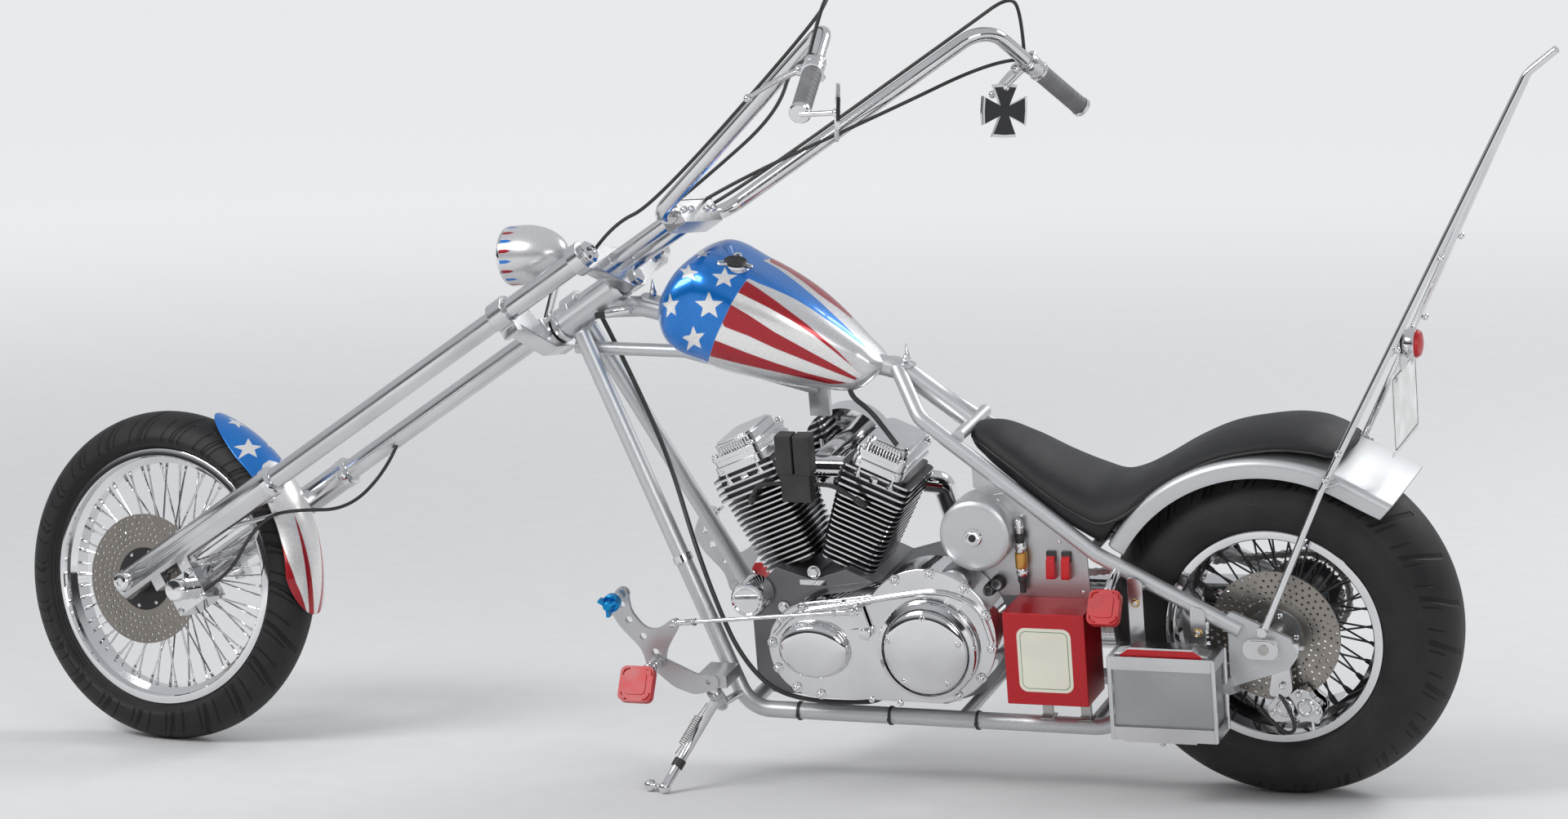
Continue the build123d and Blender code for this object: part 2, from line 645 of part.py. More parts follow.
with BuildPart() as cylinder_heads:
    for bore in bores:
        with BuildSketch(bore.offset(head_start)):
            RectangleRounded(150, 120, 14)
        extrude(amount=head_top - head_start)
        for number in range(4):
            with BuildSketch(bore.offset(head_start + 2 + number * 12.5)):
                RectangleRounded(164, 142, 12)
            extrude(amount=5)
        with BuildSketch(bore.offset(head_top)):
            RectangleRounded(170, 104, 16)
        extrude(amount=rocker_top - head_top - 18)
        with BuildSketch(bore.offset(rocker_top - 18)):
            RectangleRounded(130, 84, 16)
        extrude(amount=18)
    block((crank_x - 2, -95, 500), (crank_x + 2, 95, 760), mode=Mode.SUBTRACT)
    add(frame_spine.part, mode=Mode.SUBTRACT)
    add(cylinders.part, mode=Mode.SUBTRACT)

pushrod_feet = (-70.0, -34.0, 34.0, 70.0)
with BuildPart() as pushrod_tubes:
    for foot in pushrod_feet:
        rod((crank_x + foot, 100, 370), (crank_x + foot * 1.75, 84, 600), 8.5)
        rod((crank_x + foot, 100, 370), (crank_x + foot * 1.1, 97, 396), 12.0)
    for blocker in (crankcase, cylinders, cylinder_heads):
        add(blocker.part, mode=Mode.SUBTRACT)

with BuildPart() as primary_cover:
    with BuildSketch(Plane(origin=(0, primary_back, 0), x_dir=(1, 0, 0), z_dir=(0, -1, 0))):
        with Locations((-860, 299)):
            Circle(95)
        with Locations((-644, 315)):
            Circle(111)
        make_hull()
        with Locations((-636, 335)):
            Circle(132)
    extrude(amount=primary_back - primary_face)
    rod((-636, primary_face, 312), (-636, primary_face - 12, 312), 92.0)
    rod((-636, primary_face - 12, 312), (-636, primary_face - 24, 312), 82.0)
    with BuildSketch(Plane(origin=(0, primary_face, 0), x_dir=(1, 0, 0), z_dir=(0, -1, 0))):
        with Locations((-861, 302)):
            Ellipse(70, 55)
    extrude(amount=14)
    chamfer(primary_cover.edges().filter_by(Plane.XZ).group_by(Axis.Y)[0], length=5)

with BuildPart() as coil_unit:
    side_plate([(-938, 700), (-866, 700), (-872, 560), (-926, 560)], -128, -88)
    side_plate([(-1010, 640), (-770, 640), (-770, 655), (-1010, 655)], -90, -85)
    add(cylinder_heads.part, mode=Mode.SUBTRACT)
    add(cylinders.part, mode=Mode.SUBTRACT)

with BuildPart() as oil_filter:
    rod((-1001, primary_back, 381), (-1001, -165, 381), 33.0)
    add(crankcase.part, mode=Mode.SUBTRACT)
    add(cylinders.part, mode=Mode.SUBTRACT)

with BuildPart() as oil_canister:
    rod((-548, -150, 520), (-548, -62, 520), 68.6)
    rod((-548, -150, 520), (-548, -162, 520), 14.0)
    add(frame_loop_left.part, mode=Mode.SUBTRACT)

with BuildPart() as electrics_plate:
    side_plate([(-560, 452), (-520, 588), (-500, 592), (-348, 490), (-344, 392), (-545, 392)],
               -102, -98)
    side_plate([(-560, 640), (-348, 497), (-348, 470), (-560, 600)], -102, -98)
    add(frame_loop_left.part, mode=Mode.SUBTRACT)
    add(oil_canister.part, mode=Mode.SUBTRACT)
    for switch_x in (-415, -386):
        block((switch_x - 8, -118, 430), (switch_x + 8, -102, 470))
    rod((-470, -116, 424), (-470, -116, 540), 9.0)
    for clip_z in (436, 524):
        block((-474, -116, clip_z - 6), (-466, -102, clip_z + 6))
    rod((-520, -102, 418), (-520, -120, 418), 12.0)
    add(primary_cover.part, mode=Mode.SUBTRACT)

with BuildPart() as side_box:
    block((-487, -200, 214), (-330, -96, 392))
    block((-440, -140, rail_height + 12), (-420, -130, 216))
    block((-366, -140, rail_height + 12), (-346, -130, 216))
    add(frame_loop_left.part, mode=Mode.SUBTRACT)

with BuildPart() as battery_box:
    block((-269, -243, 174), (-79, -170, 334))
    for band_low, band_high in ((172, 198), (306, 334)):
        block((-274, -248, band_low), (-74, -166, band_high))
    block((-262, -240, 330), (-86, -176, 341))
    block((-256, -228, 163), (-118, -192, 174))
    for hanger_x in (-238, -122):
        block((hanger_x - 14, -170, 300), (hanger_x + 14, -166, 470 - 0.45 * (hanger_x + 268)))
        block((hanger_x - 14, -170, 440 - 0.45 * (hanger_x + 268)),
              (hanger_x + 14, -138, 446 - 0.45 * (hanger_x + 268)))
    for blocker in (frame_loop_left, rear_axle):
        add(blocker.part, mode=Mode.SUBTRACT)

with BuildPart() as air_cleaner:
    rod((-965, 0, 600), (-815, 0, 600), 20.0)
    rod((-890, 0, 600), (-890, 128, 600), 26.0)
    rod((-890, 128, 590), (-890, 182, 590), 84.0)
    add(cylinder_heads.part, mode=Mode.SUBTRACT)
    add(cylinders.part, mode=Mode.SUBTRACT)
air_cleaner_solid = air_cleaner.part.solids().sort_by(SortBy.VOLUME)[-1]

with BuildPart() as exhaust:
    bent_tube([(-1046, 30, 560), (-1100, 96, 540), (-1010, 192, 300), (-930, 196, 236),
               (-560, 196, 226)], 34, 22.0)
    bent_tube([(-742, 60, 560), (-690, 104, 540), (-680, 196, 360), (-620, 196, 308),
               (-520, 196, 308)], 24, 22.0)
    rod((-560, 196, 226), (-120, 206, 222), 36.0)
    rod((-540, 196, 308), (-120, 206, 306), 36.0)
    rod((-460, 138, 164), (-460, 192, 226), 9.0)
    block((-468, 190, 250), (-452, 206, 284))
    add(frame_loop_right.part, mode=Mode.SUBTRACT)
    add(cylinder_heads.part, mode=Mode.SUBTRACT)
    add(cylinders.part, mode=Mode.SUBTRACT)
    add(crankcase.part, mode=Mode.SUBTRACT)

gearbox_x = -600.0
gearbox_z = 290.0
gearbox_sprocket = 40.0
with BuildPart() as final_chain:
    with BuildSketch(Plane(origin=(0, sprocket_y + 6, 0), x_dir=(1, 0, 0), z_dir=(0, -1, 0))):
        with Locations((0, rear_axle_height)):
            Circle(sprocket_radius + 10)
        with Locations((gearbox_x, gearbox_z)):
            Circle(gearbox_sprocket + 10)
        make_hull()
    extrude(amount=12)
    with BuildSketch(Plane(origin=(0, sprocket_y + 7, 0), x_dir=(1, 0, 0), z_dir=(0, -1, 0))):
        with Locations((0, rear_axle_height)):
            Circle(sprocket_radius + 1)
        with Locations((gearbox_x, gearbox_z)):
            Circle(gearbox_sprocket)
        make_hull()
    extrude(amount=14, mode=Mode.SUBTRACT)
    rod((gearbox_x, sprocket_y - 3, gearbox_z), (gearbox_x, sprocket_y + 3, gearbox_z),
        gearbox_sprocket + 0.2)
    rod((gearbox_x, 112, gearbox_z), (gearbox_x, sprocket_y + 8, gearbox_z), 16.0)

# Foot controls, pegs, caliper

with BuildPart() as foot_control_left:
    block((-1094, -215, 222), (-1034, -140, 250))
    side_plate([(-1184, 262), (-1168, 286), (-1090, 250), (-1050, 250), (-1050, 224),
                (-1098, 210), (-1140, 224)], -222, -215)
    side_plate([(-1236, 422), (-1214, 416), (-1212, 376), (-1186, 343), (-1160, 340),
                (-1128, 364), (-1114, 352), (-1146, 300), (-1152, 262), (-1186, 258),
                (-1194, 300), (-1238, 346), (-1254, 380)], -230, -222, rounding=5)
    rod((-1167, -230, 275), (-1167, -292, 275), 12.0)
    block((-1206, -356, 240), (-1142, -290, 262))
    rod((-1167, -292, 275), (-1167, -300, 255), 12.0)
    rod((-1232, -230, 404), (-1232, -300, 404), 10.0)
    rod((-1232, -256, 404), (-1232, -302, 404), 19.0)
    add(frame_loop_left.part, mode=Mode.SUBTRACT)

with BuildPart() as foot_control_right:
    add(foot_control_left.part.mirror(Plane.XZ))

with BuildPart() as shift_rod:
    rod((-1121, -236, 358), (-769, -216, 388), 4.0)
    rod((-1121, -230, 358), (-1121, -244, 358), 9.0)
    rod((-769, -224, 388), (-769, -190, 388), 8.0)
    add(primary_cover.part, mode=Mode.SUBTRACT)

with BuildPart() as passenger_pegs:
    rod((-279, -136, 462), (-279, -205, 440), 10.0)
    block((-312, -262, 404), (-252, -196, 424))
    rod((-279, -196, 440), (-279, -206, 420), 12.0)
    add(frame_loop_left.part, mode=Mode.SUBTRACT)
    mirror(about=Plane.XZ)

with BuildPart() as rear_caliper:
    block((-2, -128, 178), (88, -70, 240))
    block((-6, -plate_y + 5, 228), (34, -120, 300))
    rod((0, -rear_disc_y - 8, rear_axle_height), (0, -rear_disc_y + 8, rear_axle_height),
        rear_disc_radius + 5, mode=Mode.SUBTRACT)
    add(frame_loop_left.part, mode=Mode.SUBTRACT)
    add(rear_axle.part, mode=Mode.SUBTRACT)

# Clutch cable held down the right downtube and under the primary drive
with BuildPart() as clutch_cable:
    bent_tube([(-1322, 8, 893), (-1300, 24, 826), (-1246, 22, 697), (-1200, 6, 590),
               (-1121, -100, 463), (-1065, -150, 360), (-1024, -166, 277), (-966, -172, 212),
               (-895, -164, 188), (-800, -150, 183), (-752, -150, 190), (-726, -150, 214)],
              20, 4.5)
    rod((-1299, 38, 757), (-1269, 22, 762), 4.0)
    for blocker in (frame_spine, frame_loop_right, primary_cover):
        add(blocker.part, mode=Mode.SUBTRACT)

# Side stand, pointing down and forward from its pivot; its foot reaches the ground

upright = Location((0, 0, 0), (lean, 0, 0))


def leaned(pitch):
    """Turn of the whole bike: pitch about Y, then lean about X."""
    return upright * Location((0, 0, 0), (0, pitch, 0))


def turned_fork(angle):
    """Placement of fork coordinates in the bike with the bars turned by an angle."""
    swing = Location((0, axis_q, 0)) * Location((0, 0, 0), (angle, 0, 0))
    return straight_fork.location * swing * Location((0, -axis_q, 0))


def lowest(place, radius, crown):
    """Height of the lowest point of a tyre whose axle is the local Z axis."""
    hub = Plane(place)
    flat = math.sqrt(1 - hub.z_dir.Z**2)
    return hub.origin.Z - (radius - crown) * flat - crown


rest_pitch = 0.0
for _ in range(8):
    rear_low = lowest(leaned(rest_pitch) * rear_hub.location, rear_radius, rear_crown)
    front_low = lowest(leaned(rest_pitch) * turned_fork(steer), front_radius, front_crown)
    rest_pitch += math.degrees((rear_low - front_low) / wheelbase)
rest_height = -lowest(leaned(rest_pitch) * rear_hub.location, rear_radius, rear_crown)
rest = Location((0, 0, rest_height)) * leaned(rest_pitch)


def ground_point(x, y, clear):
    """Point of the bike at x and y whose height over the ground is the given clearance."""
    low = Plane(rest * Location((x, y, 0))).origin.Z
    rise = Plane(rest).z_dir.Z
    return Vector(x, y, (clear - low) / rise)


stand_pivot = Vector(-1066, -190, 196)
stand_foot_radius = 12.0
stand_foot = ground_point(-1132, -330, stand_foot_radius)
stand_prong = ground_point(-1166, -316, stand_foot_radius)
stand_folded = Vector(0.985, -0.10, -0.16).normalized()
stand_down = (stand_foot - stand_pivot).normalized()
stand_axis = stand_down.cross(stand_folded).normalized()
with BuildPart() as side_stand:
    rod(stand_pivot - stand_axis * 14, stand_pivot + stand_axis * 14, 15.0)
    rod(stand_pivot + stand_down * 4, stand_foot, 9.5)
    with Locations(Plane(origin=stand_foot, z_dir=stand_down),
                   Plane(origin=stand_prong, z_dir=stand_down)):
        Sphere(stand_foot_radius)
    rod(stand_foot, stand_prong, 6.0)
    rod(stand_pivot - stand_axis * 15, stand_pivot + stand_axis * 15, 7.0 + axle_gap,
        mode=Mode.SUBTRACT)

with BuildPart() as stand_bracket:
    for side in (-1, 1):
        rod(stand_pivot + stand_axis * side * 15, stand_pivot + stand_axis * side * 24, 15.0)
    rod(stand_pivot - stand_axis * 24, stand_pivot + stand_axis * 30, 7.0)
    rod(stand_pivot - stand_axis * 27, Vector(-1036, -138, 190), 8.0)
    rod(stand_pivot - stand_axis * 15, stand_pivot - stand_axis * 34, 12.0)
    rod(stand_pivot + stand_axis * 26, stand_pivot + stand_axis * 26 + Vector(0, 0, 22), 8.0)
    add(frame_loop_left.part, mode=Mode.SUBTRACT)
    add(foot_control_left.part, mode=Mode.SUBTRACT)

# Every piece is labelled, set down and written

bike_parts = {
    "frame_spine": frame_spine.part,
    "frame_loop_left": frame_loop_left.part,
    "frame_loop_right": frame_loop_right.part,
    "rear_axle": rear_axle.part,
    "fuel_tank": fuel_tank.part,
    "fuel_cap": fuel_cap_solid,
    "seat": seat.part,
    "rear_fender": rear_fender_part.part,
    "sissy_bar": sissy_bar_solid,
    "tail_lamp": tail_lamp.part,
    "number_plate": number_plate.part,
    "crankcase": crankcase.part,
    "cylinders": cylinders.part,
    "cylinder_heads": cylinder_heads.part,
    "pushrod_tubes": pushrod_tubes.part,
    "primary_cover": primary_cover.part,
    "coil_unit": coil_unit.part,
    "oil_filter": oil_filter.part,
    "oil_canister": oil_canister.part,
    "electrics_plate": electrics_plate.part,
    "side_box": side_box.part,
    "battery_box": battery_box.part,
    "air_cleaner": air_cleaner_solid,
    "exhaust": exhaust.part,
    "final_chain": final_chain.part,
    "foot_control_left": foot_control_left.part,
    "foot_control_right": foot_control_right.part,
    "shift_rod": shift_rod.part,
    "passenger_pegs": passenger_pegs.part,
    "rear_caliper": rear_caliper.part,
    "clutch_cable": clutch_cable.part,
    "stand_bracket": stand_bracket.part,
    "side_stand": side_stand.part,
    "rear_tyre": rear_hub.location * rear_tyre.part,
    "rear_wheel": rear_hub.location * rear_wheel.part,
}
fork_parts = {
    "front_axle": front_axle.part,
    "fork_leg_left": fork_leg_left.part,
    "fork_leg_right": fork_leg_right.part,
    "lower_tree": lower_tree.part,
    "top_tree": top_tree.part,
    "handlebar": handlebar.part,
    "grips": grips.part,
    "hand_controls": hand_controls.part,
    "mirrors": mirrors.part,
    "headlight": headlight.part,
    "headlight_lens": headlight_lens.part,
    "front_fender": front_fender_solid,
    "front_caliper": front_caliper.part,
    "control_cables": control_cables.part,
    "front_tyre": front_tyre.part,
    "front_wheel": front_wheel.part,
}
placed = {}
for name, piece in bike_parts.items():
    placed[name] = rest * piece
for name, piece in fork_parts.items():
    placed[name] = rest * turned_fork(steer) * piece

box = Compound(children=[Compound(piece.solids()) for piece in placed.values()]).bounding_box()
centring = Location((-(box.min.X + box.max.X) / 2, -(box.min.Y + box.max.Y) / 2, 0))
for name, piece in placed.items():
    final = centring * piece
    final.label = name
    export_step(final, "parts/" + name + ".step")
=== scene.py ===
"""Long chopper motorcycle: finishes, fine shapes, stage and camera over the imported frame."""

import json
import math

import bmesh
import bpy
import numpy as np
from mathutils import Matrix, Vector
from mathutils.geometry import tessellate_polygon

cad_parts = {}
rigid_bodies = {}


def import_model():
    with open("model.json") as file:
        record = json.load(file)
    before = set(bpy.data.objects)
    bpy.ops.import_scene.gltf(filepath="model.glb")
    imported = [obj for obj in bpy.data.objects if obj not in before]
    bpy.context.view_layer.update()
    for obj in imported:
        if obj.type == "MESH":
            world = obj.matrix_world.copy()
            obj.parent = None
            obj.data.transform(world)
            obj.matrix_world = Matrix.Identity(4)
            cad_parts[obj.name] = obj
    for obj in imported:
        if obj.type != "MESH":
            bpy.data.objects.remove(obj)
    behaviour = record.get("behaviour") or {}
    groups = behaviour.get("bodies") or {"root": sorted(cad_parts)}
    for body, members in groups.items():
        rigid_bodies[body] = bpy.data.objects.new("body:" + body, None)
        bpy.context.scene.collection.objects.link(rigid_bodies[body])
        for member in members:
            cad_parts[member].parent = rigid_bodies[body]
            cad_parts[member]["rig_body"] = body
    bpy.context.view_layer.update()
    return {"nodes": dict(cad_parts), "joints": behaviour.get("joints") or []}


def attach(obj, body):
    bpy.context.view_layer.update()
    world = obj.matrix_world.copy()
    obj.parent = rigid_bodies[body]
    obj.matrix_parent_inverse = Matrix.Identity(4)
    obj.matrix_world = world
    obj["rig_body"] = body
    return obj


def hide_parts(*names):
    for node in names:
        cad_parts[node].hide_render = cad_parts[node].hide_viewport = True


bl_info = {
    "name": "Chopper motorcycle",
    "version": (1, 0, 0),
    "blender": (4, 5, 0),
    "location": "View3D > Sidebar > Chopper",
    "description": "Builds the finished look of a long chopper motorcycle over its packed frame",
    "category": "Object",
}

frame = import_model()
JOINTS = {joint["name"]: joint for joint in frame["joints"]}
TAU = 2 * math.pi
MM = 0.001
# Directions in a local frame: on the machine X runs back, Y to its right and Z up
X, Y, Z = (1, 0, 0), (0, 1, 0), (0, 0, 1)
LEFT = (0, -1, 0)
# Anything over this counts as outside a painted field
OUTSIDE = 99.0


# ---- local frames of the leaning machine, in millimetres --------------------------------------

def unit(vector):
    """The vector at length one."""
    vector = np.asarray(vector, float)
    return vector / np.linalg.norm(vector)


# The rear axle's height in the machine's own frame, and that frame's small pitch
REAR_AXLE_HEIGHT = 331.0
PITCH = math.radians(0.036)
REAR_HUB = np.array(JOINTS["rear_wheel_turn"]["pos_m"])
BIKE_Y = unit(JOINTS["rear_wheel_turn"]["axis"])
LEVEL_X = unit(np.cross(BIKE_Y, np.cross([1.0, 0, 0], BIKE_Y)))
LEVEL_Z = np.cross(LEVEL_X, BIKE_Y)
BIKE_X = math.cos(PITCH) * LEVEL_X - math.sin(PITCH) * LEVEL_Z
BIKE_Z = np.cross(BIKE_X, BIKE_Y)
FRONT_HUB = np.array(JOINTS["front_wheel_turn"]["pos_m"])
FORK_N = unit(JOINTS["front_wheel_turn"]["axis"])
FORK_T = unit(JOINTS["steering"]["axis"])
FORK_Q = np.cross(FORK_N, FORK_T)


class Place:
    """A local frame in millimetres: its origin and three axes in the row frame."""

    def __init__(self, origin, x_axis, y_axis, z_axis):
        self.origin = np.asarray(origin, float)
        self.axes = np.array([x_axis, y_axis, z_axis], float)

    def __call__(self, points):
        """Local points in mm to row points in m."""
        return self.origin + (np.asarray(points, float) * MM) @ self.axes

    def direction(self, vector):
        """A local direction in the row frame."""
        return np.asarray(vector, float) @ self.axes


# The camera's place from the rear hub in m, its turns, its lens and the picture's size
CAMERA_FROM_HUB = np.array([2.6491, -9.8101, 2.1103 - 0.32836])
CAMERA_TURN = math.radians(20.308)
CAMERA_DROP = math.radians(7.716)
CAMERA_ROLL = math.radians(-1.263)
LENS = 127.8
SENSOR = 36.0
PICTURE = (1920, 1003)


def camera_axes():
    """Forward, right and up of the camera in the row frame."""
    forward = np.array([-math.sin(CAMERA_TURN) * math.cos(CAMERA_DROP),
                        math.cos(CAMERA_TURN) * math.cos(CAMERA_DROP), -math.sin(CAMERA_DROP)])
    right = np.array([math.cos(CAMERA_TURN), math.sin(CAMERA_TURN), 0.0])
    up = np.cross(right, forward)
    cos_roll, sin_roll = math.cos(CAMERA_ROLL), math.sin(CAMERA_ROLL)
    return forward, cos_roll * right + sin_roll * up, -sin_roll * right + cos_roll * up


BIKE = Place(REAR_HUB - BIKE_Z * REAR_AXLE_HEIGHT * MM, BIKE_X, BIKE_Y, BIKE_Z)
FORK = Place(FRONT_HUB, FORK_T, FORK_Q, FORK_N)
REAR = Place(REAR_HUB, BIKE_X, -BIKE_Z, BIKE_Y)


# ---- shader helpers ---------------------------------------------------------------------------

class Nodes:
    """Builds a node tree, with short calls for the nodes that the finishes use."""

    def __init__(self, tree):
        self.tree = tree

    def node(self, kind, **settings):
        """Adds a node and sets its properties."""
        made = self.tree.nodes.new(kind)
        for key, value in settings.items():
            setattr(made, key, value)
        return made

    def link(self, source, target):
        """Joins an output to an input."""
        self.tree.links.new(source, target)

    def feed(self, sockets, values):
        """Gives each socket its value: a link where it is an output, else a constant."""
        for socket, value in zip(sockets, values):
            if hasattr(value, "links"):
                self.link(value, socket)
            else:
                socket.default_value = value

    def place(self):
        """Object coordinates, in m."""
        return self.node("ShaderNodeTexCoord").outputs["Object"]

    def field(self, name, output="Fac"):
        """An attribute stored on the mesh."""
        return self.node("ShaderNodeAttribute", attribute_name=name).outputs[output]

    def noise(self, scale, detail):
        """Soft noise at a scale."""
        made = self.node("ShaderNodeTexNoise")
        self.feed([made.inputs[key] for key in ("Vector", "Scale", "Detail")],
                  (self.place(), scale, detail))
        return made.outputs[0]

    def cells(self, scale, feature, output):
        """A cell pattern at a scale."""
        made = self.node("ShaderNodeTexVoronoi", feature=feature)
        self.feed([made.inputs[key] for key in ("Vector", "Scale")], (self.place(), scale))
        return made.outputs[output]

    def flakes(self, scale):
        """Two even random values for each tiny cell."""
        split = self.node("ShaderNodeSeparateColor")
        self.link(self.cells(scale, "F1", "Color"), split.inputs[0])
        return split.outputs[0], split.outputs[1]

    def math(self, operation, first, second=0.0):
        """One sum or function of values."""
        made = self.node("ShaderNodeMath", operation=operation)
        self.feed(made.inputs, (first, second))
        return made.outputs[0]

    def times(self, first, second):
        """The product of two values."""
        return self.math("MULTIPLY", first, second)

    def ramp(self, value, low, high, to_low=0.0, to_high=1.0, smooth=False):
        """Maps a value between two limits onto another span, clamped."""
        made = self.node("ShaderNodeMapRange", clamp=True)
        if smooth:
            made.interpolation_type = "SMOOTHSTEP"
        self.feed(made.inputs, (value, low, high, to_low, to_high))
        return made.outputs[0]

    def mix(self, share, first, second):
        """Blends two colours."""
        made = self.node("ShaderNodeMix", data_type="RGBA")
        self.feed([made.inputs[number] for number in (0, 6, 7)], (share, first, second))
        return made.outputs[2]


class Shader(Nodes):
    """A material with one Principled surface."""

    def __init__(self, name):
        self.material = bpy.data.materials.new(name)
        self.material.use_nodes = True
        super().__init__(self.material.node_tree)
        self.tree.nodes.clear()
        self.surface = self.node("ShaderNodeBsdfPrincipled")
        self.link(self.surface.outputs[0], self.node("ShaderNodeOutputMaterial").inputs[0])

    def set(self, **values):
        """Sets or links sockets of the surface shader by name, with _ for a space."""
        inputs = self.surface.inputs
        self.feed([inputs[key.replace("_", " ")] for key in values], values.values())

    def bump(self, height, strength, distance):
        """Turns a height into the surface's bump."""
        made = self.node("ShaderNodeBump")
        self.feed([made.inputs[key] for key in ("Height", "Strength", "Distance")],
                  (height, strength, distance))
        self.set(Normal=made.outputs[0])


def colour(red, green, blue):
    """An opaque colour."""
    return (red, green, blue, 1.0)


def toned(base, factor, lift=0.0):
    """A colour made brighter or darker, no channel over one."""
    return colour(*[min(channel * factor + lift, 1.0) for channel in base[:3]])


def worn_metal(name, base, rough, metallic=1.0, grain=0.12, spread=0.08):
    """Metal with faint cloudy tone, smudged roughness and a fine grain in its bump."""
    shader = Shader(name)
    cloud = shader.noise(7.2, 4.0)
    fine = shader.noise(720.0, 2.0)
    shader.set(
        Base_Color=shader.mix(shader.ramp(cloud, 0.35, 0.75), base, toned(base, 0.82)),
        Metallic=metallic,
        Roughness=shader.ramp(cloud, 0.3, 0.75, max(rough - spread, 0.02), rough + spread),
    )
    shader.bump(fine, grain, 0.0002)
    return shader.material


def flake_paint(name, base, rough, metallic, flake=0.10):
    """Metallic lacquer: tiny cells tint the base, under a clear coat."""
    shader = Shader(name)
    tint, gloss = shader.flakes(2400.0)
    shader.set(
        Base_Color=shader.mix(tint, toned(base, 1 - flake), toned(base, 1 + flake * 2)),
        Metallic=metallic,
        Roughness=shader.ramp(gloss, 0, 1, rough - 0.05, rough + 0.08),
        Coat_Weight=0.35,
        Coat_Roughness=0.15,
    )
    shader.bump(shader.noise(90.0, 2.0), 0.02, 0.0004)
    return shader.material


def soft_plastic(name, base, rough, grain=0.3):
    """Rubber or plastic with a fine grain and faint dust in its tone."""
    shader = Shader(name)
    cloud = shader.noise(25.0, 4.0)
    shader.set(
        Base_Color=shader.mix(shader.ramp(cloud, 0.4, 0.75), base, toned(base, 1.35, 0.01)),
        Roughness=shader.ramp(cloud, 0.3, 0.7, rough - 0.06, rough + 0.1),
    )
    shader.bump(shader.noise(900.0, 2.0), grain, 0.0003)
    return shader.material


# Finish: its maker, the material's name, its colour, and the maker's other values
FINISHES = {
    "silver_paint": (flake_paint, "silver_paint", (0.56, 0.57, 0.58), 0.42, 0.8),
    "red_paint": (flake_paint, "red_lacquer", (0.45, 0.004, 0.010), 0.25, 0.35, 0.05),
    "polished": (worn_metal, "polished_alloy", (0.72, 0.72, 0.73), 0.22),
    "brushed": (worn_metal, "brushed_alloy", (0.58, 0.58, 0.59), 0.36, 1.0, 0.3),
    "chrome": (worn_metal, "chrome", (0.80, 0.80, 0.81), 0.06, 1.0, 0.01, 0.03),
    "steel": (worn_metal, "plain_steel", (0.55, 0.54, 0.52), 0.3),
    "cast": (worn_metal, "cast_grey", (0.22, 0.22, 0.23), 0.5, 1.0, 0.5),
    "black_metal": (worn_metal, "black_enamel", (0.02, 0.02, 0.022), 0.4, 0.1, 0.5),
    "disc_steel": (worn_metal, "disc_steel", (0.36, 0.33, 0.30), 0.32, 1.0, 0.3),
    "satin": (worn_metal, "satin_grey", (0.44, 0.45, 0.46), 0.42, 1.0, 0.35),
    "brass": (worn_metal, "brass", (0.60, 0.42, 0.20), 0.25),
    "amber": (worn_metal, "amber", (0.65, 0.34, 0.08), 0.15, 0.5),
    "label_line": (worn_metal, "label_line", (0.16, 0.30, 0.14), 0.4, 0.0),
    "mirror_glass": (worn_metal, "mirror_glass", (0.015, 0.016, 0.018), 0.04, 0.0, 0.0, 0.02),
    "grey_rubber": (soft_plastic, "grip_rubber", (0.16, 0.16, 0.17), 0.55),
    "black_plastic": (soft_plastic, "black_plastic", (0.02, 0.02, 0.02), 0.4),
    "red_plastic": (soft_plastic, "red_plastic", (0.45, 0.004, 0.008), 0.34, 0.05),
    "white_paint": (soft_plastic, "plate_white", (0.78, 0.78, 0.76), 0.4, 0.05),
}


MADE = {}


def finish(name):
    """A named finish, made once."""
    if name not in MADE:
        maker, material, base, *values = FINISHES[name]
        MADE[name] = maker(material, colour(*base), *values)
    return MADE[name]


def clear_glass():
    """Clear lens glass."""
    shader = Shader("lens_glass")
    shader.set(Base_Color=colour(0.95, 0.97, 1.0), Roughness=0.03, IOR=1.45,
               Transmission_Weight=1.0)
    shader.bump(shader.noise(60.0, 1.0), 0.05, 0.0004)
    return shader.material


# ---- mesh helpers -----------------------------------------------------------------------------

def grid_faces(rows, columns, close_rows=False, close_columns=False):
    """Quads of a rows by columns grid, optionally wrapped round in either direction."""
    row = np.arange(rows if close_rows else rows - 1)[:, None]
    column = np.arange(columns if close_columns else columns - 1)[None, :]
    next_row = (row + 1) % rows
    next_column = (column + 1) % columns
    quads = np.stack([row * columns + column, next_row * columns + column,
                      next_row * columns + next_column, row * columns + next_column], -1)
    return quads.reshape(-1, 4)


def new_object(name, data):
    """An object in the scene that holds some data."""
    made = bpy.data.objects.new(name, data)
    bpy.context.scene.collection.objects.link(made)
    return made


def new_mesh(name, points, faces, materials=()):
    """An object at the origin from row points, faces and materials or names of finishes."""
    mesh = bpy.data.meshes.new(name)
    mesh.from_pydata(np.asarray(points, float).tolist(), [], faces)
    for material in materials:
        mesh.materials.append(finish(material) if isinstance(material, str) else material)
    return new_object(name, mesh)


def body_of(node):
    """The body that carries a CAD node."""
    return frame["nodes"][node]["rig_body"]


def stand_for(made, node):
    """Rides a piece on a CAD node's body and hides the node."""
    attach(made, body_of(node))
    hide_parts(node)


def store(made, fields):
    """Stores a named value for each point of a mesh."""
    for name, values in fields.items():
        stored = made.data.attributes.new(name, "FLOAT", "POINT")
        stored.data.foreach_set("value", np.asarray(values, np.float32).ravel())


